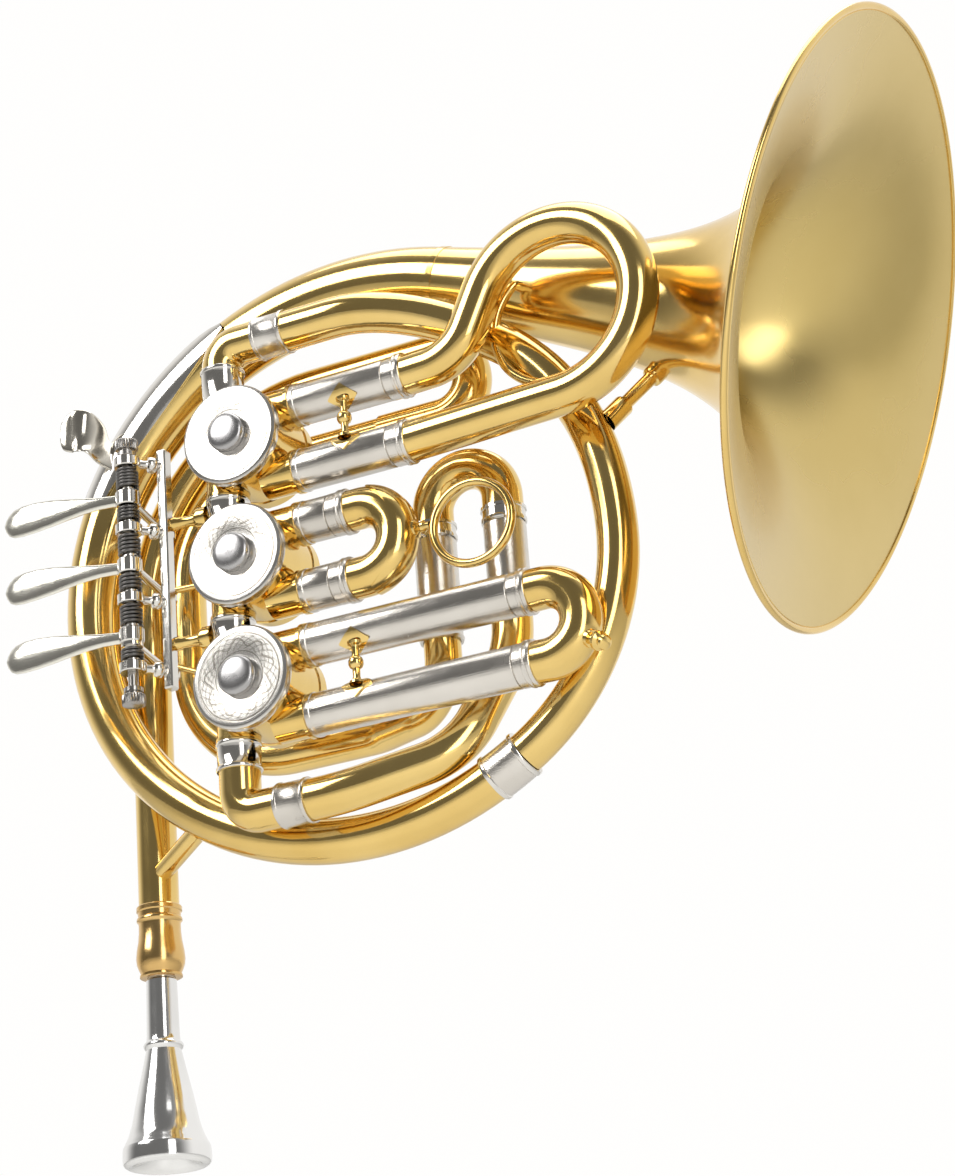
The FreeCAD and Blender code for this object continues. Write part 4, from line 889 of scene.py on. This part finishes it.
def build_tuning():
    legs = []
    inner = []
    rings = []
    for x, low in zip(TUNING_X, (-30.0, -26.0)):
        origin = V(x, TUNING_DEPTH, 0)
        legs.append(lathe_data([(low, 5.9), (low, LEG_R), (low + 1.0, 7.0), (low + 2.0, LEG_R), (2.7, LEG_R),
                                (3.0, 6.3)], origin, Z, 64))
        inner.append(lathe_data([(-21.5, 5.7), (-21.5, INNER_LEG_R), (3.4, INNER_LEG_R)], origin, Z, 48))
        stop = TUNING_STOP_Z
        rings.append(lathe_data([(3.35, INNER_LEG_R), (3.35, 6.9), (3.7, 7.1), (4.6, 7.1), (4.8, 6.75),
                                 (7.2, 6.75), (7.4, 7.1), (stop - 0.3, 7.1), (stop, 6.3)], origin, Z, 64))
    leg = gather("tuning_outer_legs", legs, NICKEL_BRUSHED)
    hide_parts("tuning_legs")
    tube = gather("tuning_inner_legs", inner, NICKEL, "tuning_slide")
    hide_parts("tuning_stockings")
    gather("tuning_ferrules", rings, NICKEL, "tuning_slide")
    middle = sum(TUNING_X) / 2
    spread_r = (TUNING_X[1] - TUNING_X[0]) / 2
    centre = V(middle, TUNING_DEPTH, TUNING_STOP_Z + 4.0)
    path = [V(TUNING_X[0], TUNING_DEPTH, TUNING_STOP_Z - 0.5)] + circle_path(centre, spread_r, 180, 0, 40)
    path.append(V(TUNING_X[1], TUNING_DEPTH, TUNING_STOP_Z - 0.5))
    crook = sweep("tuning_bow", path, TUBE_R, BRASS, "tuning_slide", around=64)
    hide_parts("tuning_crook")


def build_leadpipe():
    """Leadpipe with its U-turn, the inner circle after it, and the mouthpiece receiver."""
    corners = ((LEADPIPE_X, LEADPIPE_END_Z), (LEADPIPE_X, LEADPIPE_TOP_Z), (REAR_TURN_X, LEADPIPE_TOP_Z),
               (REAR_TURN_X, INNER_CIRCLE_Z), (30, INNER_CIRCLE_Z))
    run = [V(x, REAR_DEPTH, z) for x, z in corners]
    top = run[0]
    pipe = sweep("leadpipe_tube", rounded_path(run, [66.0, 11.4, 11.4]), LEADPIPE_R, BRASS, around=56)
    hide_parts("leadpipe")
    corners = ((30, INNER_CIRCLE_Z), (-45, INNER_CIRCLE_Z), (-45, -INNER_CIRCLE_Z), (22, -INNER_CIRCLE_Z))
    run = [V(x, REAR_DEPTH, z) for x, z in corners]
    run += [V(TUNING_X[0], TUNING_DEPTH, z) for z in (-INNER_CIRCLE_Z, -30)]
    inner = sweep("inner_circle", rounded_path(run, [36.0, 36.0, 20.0, 15.0]), INNER_CIRCLE_R, BRASS,
                  around=56)
    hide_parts("inner_circle_tube")
    outline = [(-0.4, 6.2), (-0.4, 6.9), (0, 7.2), (1.2, 7.2), (1.6, 6.8), (3.1, 6.7), (3.3, 7.0),
               (3.7, 7.2), (4.3, 7.2), (4.7, 6.8), (5.5, 6.6), (8.0, 6.65), (11.0, 6.95), (14.0, 7.5),
               (16.5, 7.7), (18.3, 7.5), (19.8, 6.95), (20.8, 6.5), (21.4, 6.3), (21.7, 6.7), (22.3, 6.7),
               (22.5, 6.3), (22.5, 4.4)]
    bulb = lathe("receiver_bulb", outline, top, Z * -1, BRASS_RED)
    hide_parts("mouthpiece_receiver")


def catmull(p0, p1, p2, p3, t):
    """Point between p1 and p2 on the smooth curve through all four."""
    return 0.5 * (2 * p1 + (p2 - p0) * t + (2 * p0 - 5 * p1 + 4 * p2 - p3) * t * t
                  + (3 * p1 - p0 - 3 * p2 + p3) * t ** 3)


def smooth_profile(points, steps=6):
    """Catmull-Rom curve through (distance, radius) points."""
    out = []
    for i in range(len(points) - 1):
        p0 = Vector(points[max(i - 1, 0)])
        p1 = Vector(points[i])
        p2 = Vector(points[i + 1])
        p3 = Vector(points[min(i + 2, len(points) - 1)])
        for k in range(steps):
            out.append(catmull(p0, p1, p2, p3, k / steps))
    out.append(Vector(points[-1]))
    return [tuple(p) for p in out]


def build_mouthpiece():
    start = V(LEADPIPE_X, REAR_DEPTH, MOUTHPIECE_START_Z)
    shank = [(0, 3.6), (0, 4.3), (18.5, 4.3), (19.0, 4.8), (36.5, 5.15)]
    ring = smooth_profile([(36.5, 5.15), (38.2, 5.4), (38.8, 6.0), (39.6, 6.3), (40.4, 6.0), (41.0, 5.5)], 4)
    cup = smooth_profile([(41.0, 5.5), (46.0, 6.6), (52.0, 8.0), (58.0, 9.3), (63.0, 10.3), (67.0, 11.5),
                          (69.6, 12.7), (71.0, 13.4)], 5)
    lip = smooth_profile([(71.0, 13.4), (72.4, 13.6), (75.4, 13.6), (76.5, 13.0), (77.0, 11.8),
                          (76.7, 10.8)], 5)
    inside = smooth_profile([(76.7, 10.8), (75.8, 10.0), (73.8, 9.2), (67.5, 7.3), (60.0, 5.0),
                             (53.0, 2.9), (49.0, 2.2)], 5)
    profile = shank + ring[1:] + cup[1:] + lip[1:] + inside[1:] + [(18.0, 2.6), (0, 3.6)]
    piece = lathe("mouthpiece_turned", profile, start, Z * -1, SILVER, "mouthpiece", 96)
    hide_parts("mouthpiece")


# ---- levers
def build_levers():
    plate = ((-2.0, -0.2, 1.9, 1.0), (-5.0, -1.2, 1.9, 0.85), (-9.0, -2.4, 2.1, 0.7),
             (-14.0, -3.4, 2.7, 0.65), (-19.0, -4.1, 3.5, 0.6), (-25.0, -4.6, 4.5, 0.6),
             (-31.0, -4.8, 5.1, 0.6), (-36.0, -4.6, 5.2, 0.6), (-39.5, -4.2, 4.7, 0.6),
             (-41.6, -3.8, 3.6, 0.55), (-42.7, -3.6, 2.2, 0.5), (-43.1, -3.5, 0.8, 0.4))
    lean = math.radians(LEVER_LEAN_DEG)
    for i, z in enumerate(LEVER_Z):
        number = str(i + 1)
        body = "lever_" + number
        stations = [(V(ROD_X + dx, y, z), Z, half, thick) for dx, y, half, thick in plate]
        touch = ribbon("touch_plate_" + number, stations, TOUCH, body, ridge=0.35)
        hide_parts("lever_" + number)
        low = NODE_Z[i + 1] + 1.9
        high = NODE_Z[i] - 1.9
        hub = [(low, 1.7), (low, 2.3), (z - 2.6, 2.3), (z - 2.4, 3.6), (z - 2.0, 3.9), (z + 2.0, 3.9),
               (z + 2.4, 3.6), (z + 2.6, 2.3), (high, 2.3), (high, 1.7)]
        parts = [lathe_data(hub, V(ROD_X, 0, 0), Z, 40)]
        link_z = LINK_Z[i]
        tip = V(ROD_X - LEVER_ARM * math.sin(lean), LEVER_ARM * math.cos(lean), link_z)
        boss = [(-0.6, 2.2), (-0.6, 3.3), (-0.3, 3.4), (2.3, 3.4), (2.6, 3.3), (2.6, 2.2)]
        parts.append(lathe_data(boss, V(ROD_X, 0, link_z), Z, 40))
        parts.append(lathe_data([(0, 0.01), (0, 2.6), (2.0, 2.6), (2.0, 0.01)], tip, Z, 32))
        parts.append(lathe_data([(2.0, 1.0), (5.3, 1.0), (5.6, 1.5), (5.9, 1.4), (5.9, 0.01)], tip, Z, 24))
        gather("lever_hub_" + number, parts, NICKEL, body)
        path = [V(ROD_X, 0, link_z + 1.0), tip + V(0, 0, 1.0)]
        along = (path[1] - path[0]).normalized()
        arm = [(path[0] + along * t, along.cross(Z), 1.45, 0.95) for t in (1.5, 10, 20, 32)]
        ribbon("lever_arm_" + number, arm, NICKEL, body)


def build_springs():
    """Coil springs wound on the lever hubs."""
    wires = []
    wire = 0.5
    coil_r = 3.1
    for i, z in enumerate(LEVER_Z):
        above = max(z + 2.4, LINK_Z[i] + 2.6) + 0.4
        below = min(z - 2.4, LINK_Z[i] - 0.6) - 0.4
        for low, high in ((above, NODE_Z[i] - 2.0), (NODE_Z[i + 1] + 2.0, below)):
            turns = int((high - low) / 1.25)
            count = turns * 22
            path = []
            for k in range(count + 1):
                angle = 2 * math.pi * turns * k / count
                rise = low + wire + (high - low - 2 * wire) * k / count
                path.append(V(ROD_X + coil_r * math.cos(angle), coil_r * math.sin(angle), rise))
            wires.append(path)
    coils = [sweep("lever_spring_%d" % (n + 1), path, wire, DARK_STEEL, around=12)
             for n, path in enumerate(wires)]
    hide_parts("lever_springs")


def knurl(r, angle):
    """Radius of a grip with 24 fine ridges on its widest part."""
    return r + (0.18 * math.cos(24 * angle) if r > 3.2 else 0.0)


def build_bracket():
    """Hinge rod with its thumb screws, the bar with four eyes, and the two braces to the valves."""
    rod = lathe("hinge_rod_shaft", [(ROD_ENDS[1], 1.6), (ROD_ENDS[0], 1.6)], V(ROD_X, 0, 0), Z, STEEL,
                around=32)
    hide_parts("hinge_rod")
    for i, (z, way) in enumerate(zip(ROD_ENDS, (1, -1))):
        profile = [(-3.6, 1.7), (-3.6, 2.6), (-3.3, 3.0), (-2.0, 3.0), (-1.9, 2.4), (-1.2, 2.4),
                   (-1.1, 3.3), (-0.9, 3.5), (1.8, 3.5), (2.1, 3.3), (2.3, 2.9), (2.6, 2.0), (2.7, 0.01)]
        lathe("thumb_screw_%d" % (i + 1), profile, V(ROD_X, 0, z), Z * way, STEEL,
              around=192, squash=knurl)
    parts = [rounded_box((-30.2, 6.2, -35.4), (-27.0, 10.4, 44.6), 0.5)]
    for z in NODE_Z:
        eye = [(-1.6, 1.7), (-1.6, 3.9), (-1.3, 4.2), (1.3, 4.2), (1.6, 3.9), (1.6, 1.7)]
        parts.append(lathe_data(eye, V(ROD_X, 0, z), Z, 48))
        way = V(-28.6 - ROD_X, 8.3, 0)
        neck = [(1.0, 1.5), (4.2, 1.5), (5.2, 1.3), (6.4, 1.4), (6.8, 2.4), (7.4, 2.6), (8.6, 2.6),
                (9.2, 2.3), (9.6, 1.6), (11.0, 1.6)]
        parts.append(lathe_data(neck, V(ROD_X, 0, z), way, 32))
    bracket = gather("bracket_bar", parts, NICKEL)
    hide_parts("lever_bracket")
    for i, z in enumerate((20.0, -20.0)):
        start = V(-27.2, 10.6, z)
        way = V(PORT_X, PORT_PLANE, z) - start
        length = way.length - 7.0
        profile = [(-1.6, 1.2), (-1.0, 2.2), (1.0, 2.2), (2.0, 1.8), (length * 0.5, 1.8), (length - 4.2, 2.2),
                   (length - 3.6, 3.2), (length - 2.6, 3.6), (length, 3.6)]
        brace = lathe("bracket_brace_%d" % (i + 1), profile, start, way, BRASS, around=40)
        if i == 0:
            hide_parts("bracket_braces")


def build_stay():
    """Curved wire inside the first slide's loop."""
    centre = V(103.0, 22.5, 59.0)
    stay_r = 20.5
    wire_r = 1.6
    path = circle_path(centre, stay_r, 130, 282, 60)
    first = path[0]
    start = first + V(1.4, 11.0, 2.4)
    end = path[-1] + V(-1.6, 3.0, -0.4)
    whole = [start, first + V(0.3, 2.0, 0.8)] + path + [end]
    stay = sweep("loop_stay_wire", whole, wire_r, BRASS, around=24)
    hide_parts("loop_stay")


def build_bell_brace():
    """Turned rod from the return tube up to the underside of the bell's throat."""
    low = V(112.4, 27.3, 22.0)
    high = V(131.5, 43.5, 47.0)
    length = (high - low).length
    profile = [(3.0, 3.3), (11.2, 3.3), (11.8, 3.1), (12.2, 2.4), (13.0, 2.2), (length - 11.6, 2.2),
               (length - 10.8, 2.4), (length - 10.4, 3.1), (length - 9.8, 3.3), (length - 3.0, 3.3)]
    brace = lathe("bell_brace_rod", profile, low, high - low, BRASS, around=40)
    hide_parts("bell_brace")


def dress_frame():
    """Finishes for the CAD pieces that are shown as they are."""
    for name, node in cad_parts.items():
        node.data.shade_smooth()
        node.data.set_sharp_from_angle(angle=math.radians(30))
        node.data.materials.clear()
        node.data.materials.append(CORK if name == "stop_corks" else BRASS)


# ---- studio
def soft_light(name, location, target, size, power, colour=(1.0, 1.0, 1.0)):
    data = bpy.data.lights.new(name, "AREA")
    data.shape = "RECTANGLE"
    data.size = size[0]
    data.size_y = size[1]
    data.energy = power
    data.color = colour
    light = bpy.data.objects.new(name, data)
    light.location = location
    light.rotation_mode = "QUATERNION"
    light.rotation_quaternion = (Vector(target) - Vector(location)).to_track_quat("-Z", "Y")
    bpy.context.scene.collection.objects.link(light)


def build_studio():
    """Pale floor, a world that fades to white behind the horn, and four soft lights."""
    mesh = bpy.data.meshes.new("floor")
    size = 6.0
    height = at((0, 0, FLOOR_Z)).z
    corners = [(-size, -size, height), (size, -size, height), (size, size, height), (-size, size, height)]
    mesh.from_pydata(corners, [], [(0, 1, 2, 3)])
    floor = bpy.data.objects.new("floor", mesh)
    bpy.context.scene.collection.objects.link(floor)
    material, nodes, links, shader = node_material("floor_paint")
    grain = noise(nodes, links, scaled_coords(nodes, links, (1, 1, 1)), 3.0, 2.0)
    links.new(ramp(nodes, links, grain, ((0.3, (0.80, 0.80, 0.79)), (0.7, (0.84, 0.84, 0.83)))),
              shader.inputs["Base Color"])
    shader.inputs["Roughness"].default_value = 0.7
    mesh.materials.append(material)
    world = bpy.data.worlds.new("studio")
    world.use_nodes = True
    nodes = world.node_tree.nodes
    links = world.node_tree.links
    coords = nodes.new("ShaderNodeTexCoord")
    parts = nodes.new("ShaderNodeSeparateXYZ")
    links.new(coords.outputs["Generated"], parts.inputs["Vector"])
    fade = nodes.new("ShaderNodeMapRange")
    fade.interpolation_type = "SMOOTHSTEP"
    fade.inputs["From Min"].default_value = -0.55
    fade.inputs["From Max"].default_value = 0.25
    fade.inputs["To Min"].default_value = 0.18
    fade.inputs["To Max"].default_value = 1.0
    links.new(parts.outputs["Y"], fade.inputs["Value"])
    background = nodes["Background"]
    background.inputs["Color"].default_value = (1.0, 0.995, 0.985, 1)
    links.new(fade.outputs["Result"], background.inputs["Strength"])
    bpy.context.scene.world = world
    centre = at((60, 25, 20))
    soft_light("key", centre + Vector((-0.9, -1.1, 1.0)), centre, (0.9, 0.9), 16)
    soft_light("fill", centre + Vector((1.1, -1.2, 0.2)), centre, (0.5, 1.4), 8)
    soft_light("low_strip", centre + Vector((-0.3, -1.1, -0.8)), centre, (1.4, 0.25), 4)
    soft_light("top", centre + Vector((0.1, 0.1, 1.4)), centre, (1.2, 1.2), 10)


def build_camera():
    data = bpy.data.cameras.new("camera")
    data.sensor_fit = "AUTO"
    data.sensor_width = 36.0
    data.lens = 91.71
    data.clip_start = 0.05
    data.clip_end = 50.0
    camera = bpy.data.objects.new("camera", data)
    right = V(0.8939, 0.4427, -0.0709)
    up = V(0.2231, -0.3020, 0.9268)
    back = V(0.3889, -0.8443, -0.3687)
    matrix = Matrix((right, up, back)).transposed().to_4x4()
    matrix.translation = at((418.2, -733.1, -351.0))
    camera.matrix_world = matrix
    bpy.context.scene.collection.objects.link(camera)
    bpy.context.scene.camera = camera
    bpy.context.scene.view_settings.view_transform = "Standard"


def main():
    dress_frame()
    build_bell()
    top = build_branch()
    build_ports(top)
    build_guard()
    build_hook()
    build_valves()
    build_slides()
    build_leg_braces()
    build_entry()
    build_tuning()
    build_leadpipe()
    build_mouthpiece()
    build_levers()
    build_springs()
    build_bracket()
    build_stay()
    build_bell_brace()
    build_studio()
    build_camera()


main()
